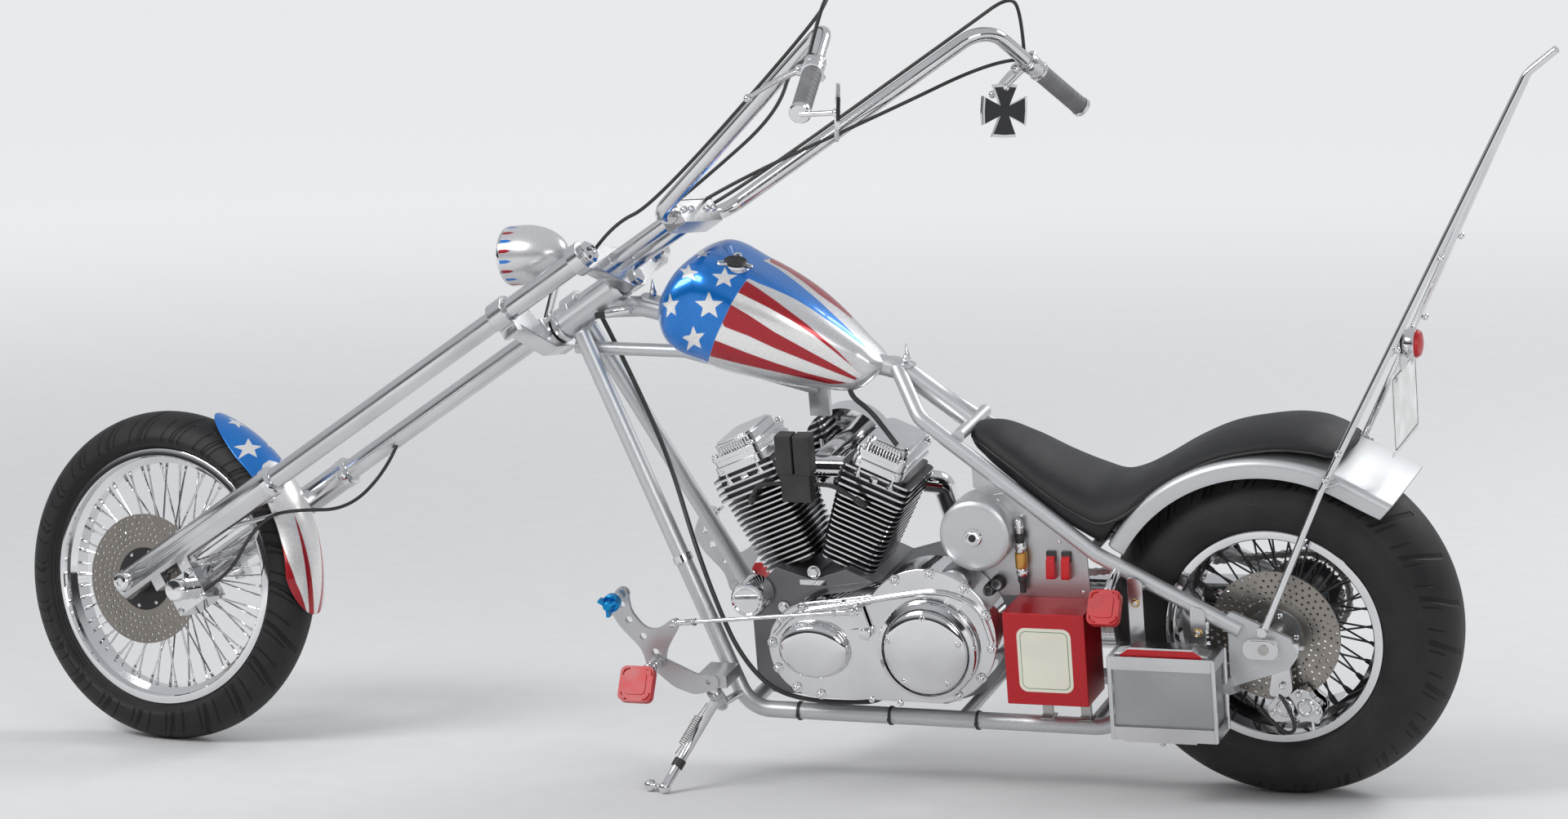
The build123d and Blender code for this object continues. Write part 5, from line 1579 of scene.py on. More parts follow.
def switch_plate():
    """The switch plate with guards, fuel filter and key switch."""
    plate = Batch(BIKE)
    plate.slab([(-560, 452), (-520, 588), (-500, 592), (-348, 490), (-344, 392),
                (-545, 392)], (0, -98, 0), X, Z, 4)
    plate.slab([(-560, 600), (-348, 470), (-348, 497), (-560, 640)], (0, -96, 0), X, Z, 3)
    plate.ink = 1
    for x in (-415, -386):
        side = [(-102, 430), (-119, 432), (-121, 438), (-116, 468), (-108, 474), (-102, 474)]
        plate.slab(side, (x - 8, 0, 0), Y, Z, 16)
    plate.ink = 2
    for x in (-415, -386):
        plate.box((x - 9, -108, 462), (x + 9, -102, 482))
    plate.turned([(0, 14), (10, 14), (13, 12), (18, 12), (18, 0)], (-520, -102, 418), LEFT, 32)
    post = (-470, -116)
    for low, high in ((424, 436), (502, 518)):
        plate.rod((*post, low), (*post, high), 8.5, 20, ease=1.5)
    plate.rod((*post, 404), (*post, 424), 6.0, 16)
    plate.ink = 3
    plate.rod((*post, 452), (*post, 482), 11.5, 28, ease=1.5)
    plate.ink = 4
    for low, high, radius in ((436, 452, 9.5), (482, 502, 9.5), (518, 546, 7.0)):
        plate.rod((*post, low), (*post, high), radius, 24, ease=2)
        plate.rod((*post, (low + high) / 2 - 2), (*post, (low + high) / 2 + 2), radius + 2.5, 6)
    plate.turned([(17, 9), (20, 9), (20, 0)], (-520, -102, 418), LEFT, 24)
    for x, z in ((-512, 576), (-360, 484), (-540, 404), (-358, 404), (-398, 500)):
        plate.bolt((x, -102, z), LEFT, 3.5, 2.5)
    plate.make("switch_plate", ("brushed", "red_plastic", "black_plastic", "amber", "chrome"),
               "electrics_plate", bevel=0.5, replaced=True)


def tail_pieces():
    """A chrome lamp with a red lens facing back, and a blank bordered plate under it."""
    lamp = Batch(BIKE)
    start = (243, 0, 867)
    lamp.turned([(0, 16), (3, 24), (10, 28), (22, 28.6), (25, 28.6), (25, 25), (6, 20),
                 (4, 4)], start, X, 56, loop=True)
    lamp.ink = 1
    lamp.turned([(18, 25), (26, 25.5), (32, 22), (35, 12), (36, 0)], start, X, 48)
    lamp.make("lamp", ("chrome", "red_plastic"), "tail_lamp", degrees=40, replaced=True,
              slot="red_plastic")
    plate = Batch(BIKE)
    plate.slab(rounded_box(90, 71.5, 8), (240, 0, 756.5), Y, Z, 1.8)
    plate.ink = 1
    outer, inner = rounded_box(86, 67.5, 6), rounded_box(84, 65.5, 5)
    rings = []
    for depth, ring in ((241.8, inner), (241.8, outer), (242.3, outer), (242.3, inner)):
        rings.append(np.stack([np.full(len(ring), depth), ring[:, 0], 756.5 + ring[:, 1]], 1))
    plate.skin(np.array(rings), loop=True)
    plate.ink = 2
    plate.box((240, -25, 820), (243, 25, 895))
    plate.box((238, -96, 680), (240, 96, 690))
    for y in (-60, 60):
        plate.bolt((241.8, y, 816), X, 5, 3)
    plate.make("plate", ("white_paint", "black_plastic", "polished"), "number_plate",
               replaced=True, slot="plate_white")
    bar = Batch(BIKE)
    for side in (-1, 1):
        for x, y, z in ((128, 150, 655), (152, 142, 702)):
            bar.bolt((x, side * (y + 6), z), (0, side, 0), 7, 6)
        bar.nut((0, side * 172, 366), (0, side, 0), 11, 9)
        for x, y, z in ((250, 108, 890), (330, 78, 1052)):
            bar.ball((x + 9, side * y, z - 4), 6.5)
    bar.make("sissy_bolts", "chrome", "sissy_bar")


class CHOPPER_OT_boxes(bpy.types.Operator):
    """Makes the side box, battery box, switch plate, tail lamp and number plate"""

    bl_idname = "chopper.boxes"
    bl_label = "Boxes"

    def execute(self, context):
        settings = context.scene.chopper_boxes
        box = Batch(BIKE)
        box.box((-487, -200, 214), (-330, -96, 392))
        box.ink = 1
        for foot in (-440, -366):
            box.box((foot, -140, 169), (foot + 20, -130, 216))
            box.box((foot - 4, -152, 168), (foot + 24, -120, 172))
        box.make("red_box", ("red_paint", "steel"), "side_box", bevel=settings.edge / MM,
                 replaced=True, slot="red_paint")
        cream = worn_metal("label_cream", colour(*settings.label_tone), 0.35, 0.0, 0.02)
        label = Batch(BIKE)
        for half_wide, corner, y, thick, label.ink in (
                (52, 16, -200, 0.7, 0), (46, 12, -200.6, 0.3, 1), (44.6, 11, -200.8, 0.3, 0)):
            label.slab(rounded_box(half_wide, half_wide + 10, corner, 8), (-409, y, 302), X, Z,
                       thick)
        label.make("blank_label", (cream, "label_line"), "side_box")
        battery_box()
        switch_plate()
        tail_pieces()
        return {"FINISHED"}


# ---- bars, grips, levers, mirrors and cables --------------------------------------------------

# The bar's end, from its lower bend; where the grip starts and its way; the lever's perch. FLIP
# mirrors a point to the other side
GRIP_LOW = np.array([1974.0, -34, 312])
GRIP_END = np.array([1959.0, 139, 557])
GRIP_START = GRIP_LOW + (GRIP_END - GRIP_LOW) * 0.56
GRIP_WAY = unit(GRIP_END - GRIP_START)
PERCH = GRIP_START - GRIP_WAY * 42
FLIP = np.array([1.0, 1.0, -1.0])

# Routes of the held cables: node, frame, radius, sides on which it runs, points
CABLE_ROUTES = (
    ("clutch_cable", BIKE, 4.5, (1,), (
        (-1322, 8, 893), (-1300, 24, 826), (-1246, 22, 697), (-1200, 6, 590),
        (-1121, -100, 463), (-1065, -150, 360), (-1024, -166, 277), (-966, -172, 212),
        (-895, -164, 188), (-800, -150, 183), (-752, -150, 190), (-726, -150, 214))),
    ("control_cables", FORK, 3.5, (1, -1), (
        tuple(PERCH * FLIP + (-5, -8, -12)), (2018, -42, -396), (2028, -66, -352),
        (1952, -52, -305), (1402, -2, -129), (1300, -24, -112), (1227, -8, -94))),
    ("control_cables", FORK, 3.5, (1, -1), (
        (1955, 30, -418), (1918, 8, -392), (1753, 18, -211), (1500, -2, -75), (1411, -4, -52))),
    ("control_cables", FORK, 3.5, (1,), (
        (134, 96, -122), (200, 98, -120), (262, 64, -118), (330, 46, -112), (376, 62, -84),
        (430, 100, 0), (493, 52, 98), (524, 12, 128))),
)


class ChopperControls(bpy.types.PropertyGroup):
    """Grips, levers, mirrors and cables."""

    grip_radius: bpy.props.FloatProperty(
        name="Grip radius", description="Radius of the rubber grips", default=0.0178, min=0.01,
        unit="LENGTH")
    cable_steps: bpy.props.IntProperty(
        name="Cable steps", description="Points along each stretch of a cable", default=10,
        min=2)


def lever_rings(root, middle, tip):
    """A flattened bar that follows a bow from its root to its tip and grows thinner."""
    share = np.linspace(0, 1, 24)[:, None]
    path = (1 - share) ** 2 * root + 2 * share * (1 - share) * middle + share**2 * tip
    angle = np.linspace(0, TAU, 18, endpoint=False)
    way = unit(tip - root)
    side, up = square(way)
    size = 9.0 - 3.6 * share
    return (path[:, None] + size[:, None] * (np.cos(angle)[:, None] * side * 0.72
                                             + np.sin(angle)[:, None] * up))


def cross_mirrors():
    """Cross-shaped mirrors: a chrome plate, a bevelled rim and a dark glass face."""
    rake = math.radians(56.3)
    rake_sin, rake_cos = math.sin(rake), math.cos(rake)
    turn = math.radians(30)
    cross = np.array([(50, -28), (50, 28), (11, 11), (28, 50), (-28, 50), (-11, 11),
                      (-50, 28), (-50, -28), (-11, -11), (-28, -50), (28, -50), (11, -11)],
                     float)
    arms = []
    for number in range(0, 12, 3):
        first, second, after, following = cross[(number + np.arange(4)) % 12]
        arms += [first, first * 0.98 + second * 0.02, (first + second) / 2 * 1.03, second,
                 (second + after) / 2 * 0.93, after, (after + following) / 2 * 0.93]
    arms = np.array(arms)
    plates = Batch(FORK)
    spots = ((GRIP_END * FLIP + (0, 4, -2), (2022, 179, -563), (2024, 180, -564), -1),
             (PERCH + GRIP_WAY * 12, (1902, 58, 420), (1875, 94, 420), 1))
    across = np.array([rake_cos, -rake_sin, 0])
    for start, end, centre, side in spots:
        plates.ink = 0
        plates.rod(start, end, 5.0, 20)
        plates.ball(end, 8.0)
        facing = np.array([rake_sin * math.cos(turn), rake_cos * math.cos(turn),
                           -side * math.sin(turn)])
        along = np.cross(facing, across)
        plates.slab(arms, np.asarray(centre) - facing * 3, across, along, 5.6)
        plates.slab(arms * 0.97, np.asarray(centre) + facing * 2.6, across, along, 1.2)
        plates.ink = 1
        plates.slab(arms * 0.89, np.asarray(centre) + facing * 3.6, across, along, 0.5)
    plates.make("cross_mirrors", ("chrome", "mirror_glass"), "mirrors", degrees=30, replaced=True)


def held_cables(settings):
    """Each cable is a smooth curve pulled towards its route's points, as thick as in CAD."""
    made = {}
    for node, place, radius, sides, points in CABLE_ROUTES:
        hose = made.setdefault(node, Batch(np.asarray))
        for flip in sides:
            route = np.array(points, float) * (1, 1, flip)
            data = bpy.data.curves.new(node, "CURVE")
            data.dimensions = "3D"
            data.resolution_u = settings.cable_steps
            data.bevel_depth = radius * MM
            data.bevel_resolution = 3
            data.use_fill_caps = True
            spline = data.splines.new("NURBS")
            spline.points.add(len(route) - 1)
            for target, spot in zip(spline.points, place(route)):
                target.co = (*spot, 1.0)
            spline.order_u = 3
            spline.use_endpoint_u = True
            carrier = new_object(node, data)
            bpy.context.view_layer.update()
            mesh = bpy.data.meshes.new_from_object(carrier)
            bpy.data.objects.remove(carrier)
            spots = np.empty(len(mesh.vertices) * 3)
            mesh.vertices.foreach_get("co", spots)
            hose.add(spots.reshape(-1, 3), [tuple(face.vertices) for face in mesh.polygons])
    for node, hose in made.items():
        hose.make(node + "_hose", "black_plastic", node, degrees=50, replaced=True, slot="cable")


class CHOPPER_OT_controls(bpy.types.Operator):
    """Makes grips, perches, levers, mirrors and the cables that hang between held points"""

    bl_idname = "chopper.controls"
    bl_label = "Hand controls and cables"

    def execute(self, context):
        settings = context.scene.chopper_controls
        radius = settings.grip_radius / MM
        grips = Batch(FORK)
        hands = Batch(FORK)
        for side in (1, -1):
            flip = np.array([1.0, 1.0, side])
            start, end, way = GRIP_START * flip, GRIP_END * flip, GRIP_WAY * flip
            length = np.linalg.norm(end - start)
            profile = [(0, radius - 1)]
            for number in range(9):
                place = 3 + number * (length - 8) / 9
                step = (length - 8) / 9
                profile += [(place, radius - 0.6), (place + 0.8, radius),
                            (place + step - 1.2, radius), (place + step - 0.4, radius - 0.6)]
            grips.ink = 0
            grips.turned(profile + [(length - 2, radius - 1)], start, way, 40)
            grips.ink = 1
            grips.turned([(-4, radius + 1), (-3, radius + 2.4), (2, radius + 2.4), (3, radius)],
                         start, way, 40)
            grips.turned([(length - 4, radius + 1), (length - 3, radius + 2.2),
                          (length + 4, radius + 2.2), (length + 6, radius), (length + 7, 8),
                          (length + 7, 0)], start, way, 40)

            perch = PERCH * flip
            hands.rod(perch, perch + way * 40, 18.5, 32, ease=2.5)
            hands.rod(perch + way * 6, perch + way * 22, 20.0, 32, ease=1.5)
            root = perch + way * 14 + np.array([-30.0, -8, 0])
            tip = np.array([1846.0, 40, 478]) * flip
            middle = (root + tip) / 2 + np.array([9.0, -6, 0])
            hands.skin(lever_rings(root, middle, tip))
            hands.ball(tip, 8.0, unit(tip - root), 20)
            hands.ball(root, 11.0, unit(tip - root), 20)
            hands.rod(perch + way * 14, root, 11.0, 24, end_radius=8.5)
            out = unit(np.cross(way, root - perch))
            hands.bolt(root + out * 8, out, 5.5, 5)
            for place in (9, 33):
                hands.bolt(perch + way * place - unit((-30, -8, 0)) * 18, unit((30, 8, 0)), 4.0, 4)
            hands.rod(perch + way * 20 + out * 12, perch + way * 20 + out * 30, 8.0, 24, ease=1.5)
        grips.make("rubber_grips", ("grey_rubber", "chrome"), "grips", replaced=True, slot="grip")
        hands.make("levers", "polished", "hand_controls", replaced=True)
        cross_mirrors()
        held_cables(settings)
        return {"FINISHED"}


# ---- frame, fork, feet and stand --------------------------------------------------------------

class ChopperRunning(bpy.types.PropertyGroup):
    """Pedals, stand, chain and small fittings."""

    link_pitch: bpy.props.FloatProperty(
        name="Link pitch", description="Pitch of the final chain", default=0.015875,
        min=0.005, unit="LENGTH")
    knob_tone: bpy.props.FloatVectorProperty(
        name="Knob", description="Colour of the blue shift knob", default=(0.02, 0.32, 0.72),
        size=3, min=0.0, max=1.0, subtype="COLOR")


def add_pierced(batch, outline, holes, start, across, along, thick):
    """A flat plate with round holes, filled between its outline and the holes."""
    loops = [np.asarray(outline, float)]
    for x, y, radius in holes:
        angle = np.linspace(0, TAU, 20, endpoint=False)
        loops.append(np.stack([x + radius * np.cos(angle), y + radius * np.sin(angle)], 1))
    flat = np.concatenate(loops)
    triangles = tessellate_polygon([[Vector((x, y, 0)) for x, y in loop] for loop in loops])
    across, along = unit(across), unit(along)
    lift = np.cross(across, along) * thick
    base = np.asarray(start, float) + flat[:, :1] * across + flat[:, 1:] * along
    count = len(flat)
    faces = [tuple(face) for face in triangles]
    faces += [tuple(corner + count for corner in face[::-1]) for face in triangles]
    first = 0
    for loop in loops:
        for number in range(len(loop)):
            one, two = first + number, first + (number + 1) % len(loop)
            faces.append((one, two, two + count, one + count))
        first += len(loop)
    batch.add(np.concatenate([base, base + lift]), faces)


def add_pad(batch, centre, side, half_wide, half_deep):
    """A rounded pad with a raised middle and a border of studs, its face turned out."""
    tilt = math.radians(55)
    across = np.array(X) * -float(side)
    along = np.array([0, -side * math.cos(tilt), math.sin(tilt)])
    face = np.cross(across, along)
    outline = rounded_box(half_wide, half_deep, 12)
    batch.slab(outline, np.subtract(centre, face * 9), across, along, 18)
    batch.slab(outline * 0.62, np.add(centre, face * 9), across, along, 1.6)
    for x, y in outline * 0.86:
        spot = centre + across * x + along * y + face * 8
        batch.rod(spot, spot + face * 4.2, 2.2, 8)


def foot_controls(settings):
    """Foot plates with holes, red pedals, a ribbed peg, the blue knob and the shift rod."""
    blue = worn_metal("knob_blue", colour(*settings.knob_tone), 0.25)
    for side, node in ((-1, "foot_control_left"), (1, "foot_control_right")):
        foot = Batch(BIKE)
        y = side * 222 if side < 0 else 230
        arm = rounded([(-1236, 422), (-1214, 416), (-1212, 376), (-1186, 343), (-1160, 340),
                       (-1128, 364), (-1114, 352), (-1146, 300), (-1152, 262),
                       (-1186, 258), (-1194, 300), (-1238, 346), (-1254, 380)], 16, 5, True)
        add_pierced(foot, arm, ((-1228, 388, 6.5), (-1216, 358, 7), (-1190, 326, 7),
                                (-1168, 296, 7)), (0, y, 0), X, Z, 8)
        lower = rounded([(-1184, 262), (-1168, 286), (-1090, 250), (-1050, 250),
                         (-1050, 224), (-1098, 210), (-1140, 224)], 12, 5, True)
        add_pierced(foot, lower, ((-1070, 237, 5),), (0, y + 8 if side < 0 else 222, 0), X, Z, 7)
        foot.box((-1094, side * 215, 224), (-1036, side * 140, 248))
        foot.pin(-1167, 275, side * 215, side * 240, 14, 32, ease=2)
        foot.pin(-1224, 410, side * 222, side * 236, 13, 28, ease=2)
        foot.ink = 1
        foot.pin(-1167, 275, side * 236, side * 296, 11, 28, ease=2)
        for place in (246, 258, 270, 282):
            foot.pin(-1167, 275, side * place, side * (place + 5), 13, 28, ease=1)
        foot.pin(-1232, 404, side * 232, side * 262, 8, 24)
        foot.ink = 2
        add_pad(foot, (-1174, side * 318, 262), side, 33, 34)
        foot.ink = 3 if side < 0 else 1
        foot.turned([(0, 15), (2, 17), (16, 17), (18, 15), (18, 10), (34, 9), (36, 7),
                     (36, 0)], (-1232, side * 258, 404), (0, side, 0), 36)
        for number in range(3):
            angle = TAU * number / 3 + 0.5
            way = np.array([math.cos(angle), 0, math.sin(angle)])
            foot.box_between(np.array([-1232, side * 276, 404]) + way * 6
                             - np.cross(way, Y) * 3, way, np.cross(way, Y),
                             (0, side, 0), (15, 6, 16))
        foot.make(node + "_skin", ("brushed", "chrome", "red_plastic", blue), node, bevel=0.7,
                  replaced=True)
    rod = Batch(BIKE)
    start, end = np.array([-1121.0, -237, 358]), np.array([-769.0, -217, 388])
    way = unit(end - start)
    rod.rod(start, end, 4.0, 20)
    for spot, sign in ((start, 1), (end, -1)):
        rod.ball(spot, 9.5, Y, 20)
        rod.rod(spot, spot + way * sign * 34, 6.0, 20, ease=1.5)
        rod.rod(spot + way * sign * 36, spot + way * sign * 42, 7.5, 6)
        rod.bolt(spot + np.array([0, -8, 0]), LEFT, 6, 5)
    rod.pin(-1121, 358, -229, -240, 8, 20)
    rod.pin(-769, 388, -190, -224, 8, 20)
    arm = rounded([(-779, 396), (-761, 396), (-748, 352), (-744, 336), (-764, 330),
                   (-768, 352)], 8, 4, True)
    rod.slab(arm, (0, -196, 0), X, Z, 7)
    rod.pin(-755, 340, -190, -210, 11, 28, ease=2)
    rod.make("shift_linkage", "chrome", "shift_rod", replaced=True)
    pegs = Batch(BIKE)
    for side in (-1, 1):
        pegs.rod((-279, side * 136, 462), (-279, side * 205, 440), 10, 28, ease=2)
        pegs.rod((-279, side * 196, 440), (-279, side * 206, 420), 12, 28, ease=2)
        pegs.ink = 1
        add_pad(pegs, (-280, side * 226, 418), side, 30, 33)
        pegs.ink = 0
    pegs.make("rear_pegs", ("chrome", "red_plastic"), "passenger_pegs", bevel=0.7, replaced=True)


def chain_loop(settings):
    """Rollers and waisted link plates laid along a belt path round two sprockets."""
    rear, front = (0.0, 331.0, 83.0), (-600.0, 290.0, 45.0)
    spots = []
    for x, z, radius in (rear, front):
        angle = np.linspace(0, TAU, 240, endpoint=False)
        spots.append(np.stack([x + radius * np.cos(angle), z + radius * np.sin(angle)], 1))
    away = math.hypot(rear[0] - front[0], rear[1] - front[1])
    tilt = math.atan2(rear[1] - front[1], rear[0] - front[0])
    spread = math.acos((rear[2] - front[2]) / away)
    first = np.linspace(tilt + math.pi - spread, tilt - math.pi + spread, 200)
    second = np.linspace(tilt - math.pi + spread, tilt - math.pi - spread, 120)
    path = np.concatenate([
        np.stack([rear[0] + rear[2] * np.cos(first), rear[1] + rear[2] * np.sin(first)], 1),
        np.stack([front[0] + front[2] * np.cos(second),
                  front[1] + front[2] * np.sin(second)], 1)])
    path = np.concatenate([path, path[:1]])
    length = np.concatenate([[0], np.cumsum(np.hypot(*np.diff(path, axis=0).T))])
    count = int(length[-1] / (settings.link_pitch / MM) / 2) * 2
    place = np.linspace(0, length[-1], count, endpoint=False)
    pins = np.stack([np.interp(place, length, path[:, 0]),
                     np.interp(place, length, path[:, 1])], 1)
    chain = Batch(BIKE)
    turn = np.linspace(-math.pi / 2, math.pi / 2, 5)
    for number in range(count):
        one, two = pins[number], pins[(number + 1) % count]
        span = two - one
        size = np.hypot(*span)
        end = np.stack([size + 6.6 * np.cos(turn), 6.6 * np.sin(turn)], 1)
        start = np.stack([-6.6 * np.cos(turn), -6.6 * np.sin(turn)], 1)
        outline = np.concatenate([end, [(size / 2, 4.6)], start, [(size / 2, -4.6)]])
        across = np.array([span[0], 0, span[1]])
        along = np.cross(Y, across)
        gap = 4.4 if number % 2 else 6.4
        for middle in (140 - gap, 140 + gap - 1.7):
            chain.slab(outline, (one[0], middle + 1.7, one[1]), across, along, -1.7)
        chain.pin(one[0], one[1], 132.4, 147.6, 2.6, 8)
        chain.pin(one[0], one[1], 136.0, 144.0, 5.0, 10)
    chain.slab(toothed(21, 41.0, 43.5, 46.0), (-600, 142, 290), X, Z, 5)
    chain.pin(-600, 290, 112, 150, 16, 32, ease=2)
    chain.nut((-600, 150, 290), Y, 20, 8)
    chain.make("chain_links", "steel", "final_chain", replaced=True)


def rear_brake():
    """A lobed caliper astride the disc, its bolts, bracket, piston covers and hose."""
    brake = Batch(BIKE)
    lobes = rounded([(-12, 204), (-8, 182), (14, 174), (30, 180), (44, 174), (60, 180),
                     (78, 176), (92, 190), (90, 212), (74, 222), (66, 240), (44, 242),
                     (34, 230), (8, 228)], 9, 5, True)
    brake.slab(lobes, (0, -103, 0), X, Z, 24)
    brake.slab(lobes * (1, 0.98) + (0, 4), (0, -71, 0), X, Z, 12)
    bracket = rounded([(-6, 228), (6, 300), (34, 300), (40, 240), (30, 226)], 8, 5, True)
    brake.slab(bracket, (0, -122, 0), X, Z, 12)
    for x, z, radius in ((22, 204, 17), (62, 206, 17)):
        brake.turned([(0, radius), (3, radius), (5, radius - 3), (5, radius - 6),
                      (3.5, radius - 7), (3.5, 0)], (x, -127, z), LEFT, 40)
    for x, z in ((-2, 194), (84, 200), (42, 184), (50, 232), (16, 222)):
        brake.turned([(0, 8.5), (2, 8.5), (2, 0)], (x, -126, z), LEFT, 24)
        brake.bolt((x, -127, z), LEFT, 6.0, 6.0)
    for x, z in ((20, 286), (22, 250)):
        brake.bolt((x, -134, z), LEFT, 7.0, 6.0)
    for x in (4, 80):
        brake.pin(x, 180, -124, -72, 6.0, 20)
    brake.rod((70, -118, 176), (72, -120, 160), 3.4, 12)
    brake.ink = 1
    hose = rounded([(10, -128, 236), (30, -142, 214), (46, -140, 168), (20, -124, 150),
                    (-30, -118, 196)], 30, 8)
    brake.tube(dense(hose, 5), 3.6, 12)
    brake.make("rear_caliper_skin", ("chrome", "black_plastic"), "rear_caliper", bevel=1.2,
               replaced=True)


def frame_trim():
    """Steering-head cups, cable ties, the axle's ends, pipe ends closed by thin black discs as
    painted shade inside them, and a fuel line.
    """
    trim = Batch(BIKE)
    trim.ink = 1
    for x in (-922, -740, -568):
        trim.turned([(-2.5, 16.2), (-2.5, 18.4), (2.5, 18.4), (2.5, 16.2)],
                    (x, -135, 157 - (x + 1024) * 0.0058), X, 32, loop=True)
        trim.box((x - 3, -156, 150), (x + 3, -152, 156))
    trim.ink = 0
    down = unit((325, -113, -701))
    spot = np.array([-1349.0, -22, 858]) + down * 470
    trim.turned([(-7, 16.2), (-7, 19), (7, 19), (7, 16.2)], spot, down, 32, loop=True)
    trim.nut((0, 172, 331), Y, 15, 12)
    trim.turned([(0, 20), (3, 20), (3, 0)], (0, 160, 331), Y, 36)
    for side in (-1, 1):
        trim.box((44, side * 150, 322), (62, side * 160, 340))
        trim.rod((62, side * 155, 331), (72, side * 155, 331), 5, 16)
    badge = rounded_box(33, 19, 17, 8)
    trim.slab(badge, (-6, -160, 331), X, Z, 13.0)
    trim.slab(badge * 0.88, (-6, -173, 331), X, Z, 1.4)
    pipe_ends = ((-120, 206, 222), (-120, 206, 306))
    for pipe_end in pipe_ends:
        trim.turned([(-6, 36), (-6, 38), (2, 38), (3, 36), (3, 32), (0, 32)], pipe_end, X, 48,
                    loop=True)
    # A thin black disc closes each pipe end: painted shade standing in for the dark inside of the
    # pipe
    trim.ink = 1
    for pipe_end in pipe_ends:
        trim.turned([(0, 32), (0.6, 32), (0.6, 0)], pipe_end, X, 40)
    pipe = rounded([(-812, -26, 782), (-812, -34, 752), (-770, -40, 722), (-716, -60, 664)], 20, 8)
    trim.tube(dense(pipe, 5), 5.0, 12)
    trim.ink = 0
    trim.rod((-812, -26, 792), (-812, -26, 770), 8, 20, ease=1.5)
    trim.rod((-818, -48, 778), (-806, -22, 778), 4, 16)
    neck, stub = np.array([-1291.0, -30, 898]), unit((47, 0, 9))
    trim.rod(neck, neck + stub * 52, 8.5, 24, ease=1.5)
    trim.ink = 1
    trim.rod(neck - stub * 22, neck, 6.5, 20, ease=1.5)
    trim.make("frame_trim", ("chrome", "black_plastic"), "frame_spine")
    cups = Batch(FORK)
    for middle, sign in ((1036, 1), (1196, -1)):
        cups.turned([(-1, 13), (-1, 27.5), (5, 29), (12, 28), (14, 25), (14, 24.2)],
                    (middle, 53, 0), (sign, 0, 0), 48)
    cups.make("head_cups", "polished", "frame_spine")


def fork_trim():
    """Slider collars, clamp bolts, the slot as a thin black plate and bar of painted shade, axle
    caps and the caliper's round cap.
    """
    trim = Batch(FORK)
    for side in (-1, 1):
        leg = side * 134
        trim.turned([(377, 28.6), (379, 30.6), (392, 30.6), (396, 27), (398, 21)],
                    (0, 0, leg), X, 48)
        trim.turned([(0, 20), (4, 22), (8, 22), (12, 17), (12, 9), (9, 8), (9, 0)],
                    (1234, 0, leg), X, 40)
        for t in (1004, 1022):
            trim.bolt((t, 34, side * 118), Y, 5.5, 6)
        trim.bolt((1215, 22, side * 116), Y, 5.5, 6)
        trim.turned([(0, 15.4), (2, 18), (6, 18), (10, 14), (11, 8), (8, 7), (8, 0)],
                    (0, 0, side * 172), (0, 0, side), 36)
        trim.bolt((-26, 0, leg), (-1, 0, 0), 8, 6)
        for n in (30, 56):
            trim.bolt((1415, 18, side * n), X, 6.5, 7)
    trim.nut((1228, 53, 0), X, 19, 12)
    trim.turned([(0, 21.5), (2, 22.5), (10, 22.5), (14, 19), (15, 0)], (104, 78, -170),
                (0, 0, -1), 48)
    for t, q in ((72, 54), (72, 110), (132, 54), (132, 110)):
        trim.bolt((t, q, -144), (0, 0, -1), 6, 5)
    # The slot is drawn as a thin black plate and bar: painted shade where the top tree is cut
    trim.ink = 1
    trim.slab(rounded_box(9, 26, 6), (1393, -8.2, 0), X, Z, 1.0)
    trim.box((1370.5, -4, -70.4), (1415.5, -2, 70.4))
    trim.make("fork_trim", ("chrome", "black_metal"), "top_tree")


def stand_trim():
    """A return spring wound beside the stand's leg, and a dark band round it."""
    pivot = np.array([-1066.0, -190, 196])
    flat = np.array([-1132.0, -330, 0])
    base = BIKE(flat)[2] / MM
    foot = flat + (0, 0, (12.0 - base) / BIKE.axes[2][2])
    way = unit(foot - pivot)
    side = unit(np.cross(way, Y))
    other = np.cross(way, side)
    coil = []
    for share in np.linspace(0, 1, 14 * 14):
        turn = share * 14 * TAU
        coil.append(pivot + way * (52 + 62 * share) - side * 15
                    + 4.6 * (math.cos(turn) * side + math.sin(turn) * other))
    spring = Batch(BIKE)
    spring.tube(np.array(coil), 1.1, 6)
    for near, far in ((20, 52), (114, 136)):
        spring.rod(pivot + way * near - side * 12, pivot + way * far - side * 15, 1.3, 8)
    spring.ink = 1
    spring.turned([(-8, 9.7), (-8, 11.6), (8, 11.6), (8, 9.7)], pivot + way * 150, way, 24,
                  loop=True)
    spring.make("stand_spring", ("steel", "black_plastic"), "side_stand")


class CHOPPER_OT_running(bpy.types.Operator):
    """Makes foot controls, chain, stand spring, ties, bolts and trim of frame and fork"""

    bl_idname = "chopper.running"
    bl_label = "Pedals, chain and fittings"

    def execute(self, context):
        settings = context.scene.chopper_running
        foot_controls(settings)
        chain_loop(settings)
        frame_trim()
        rear_brake()
        fork_trim()
        stand_trim()
        return {"FINISHED"}


# ---- settings, operators and panel ------------------------------------------------------------

class ChopperStage(bpy.types.PropertyGroup):
    """Camera, floor and lamps."""

    focal: bpy.props.FloatProperty(
        name="Focal length", description="Camera lens on a 36 mm wide sensor, in mm",
        default=LENS, min=20.0, max=400.0)
    floor_grey: bpy.props.FloatProperty(
        name="Floor tone", description="Brightness of the pale floor", default=0.74,
        min=0.0, max=1.0, subtype="FACTOR")
    lamp_power: bpy.props.FloatProperty(
        name="Lamp power", description="Power of the main soft lamp", default=260.0, min=0.0,
        unit="POWER")


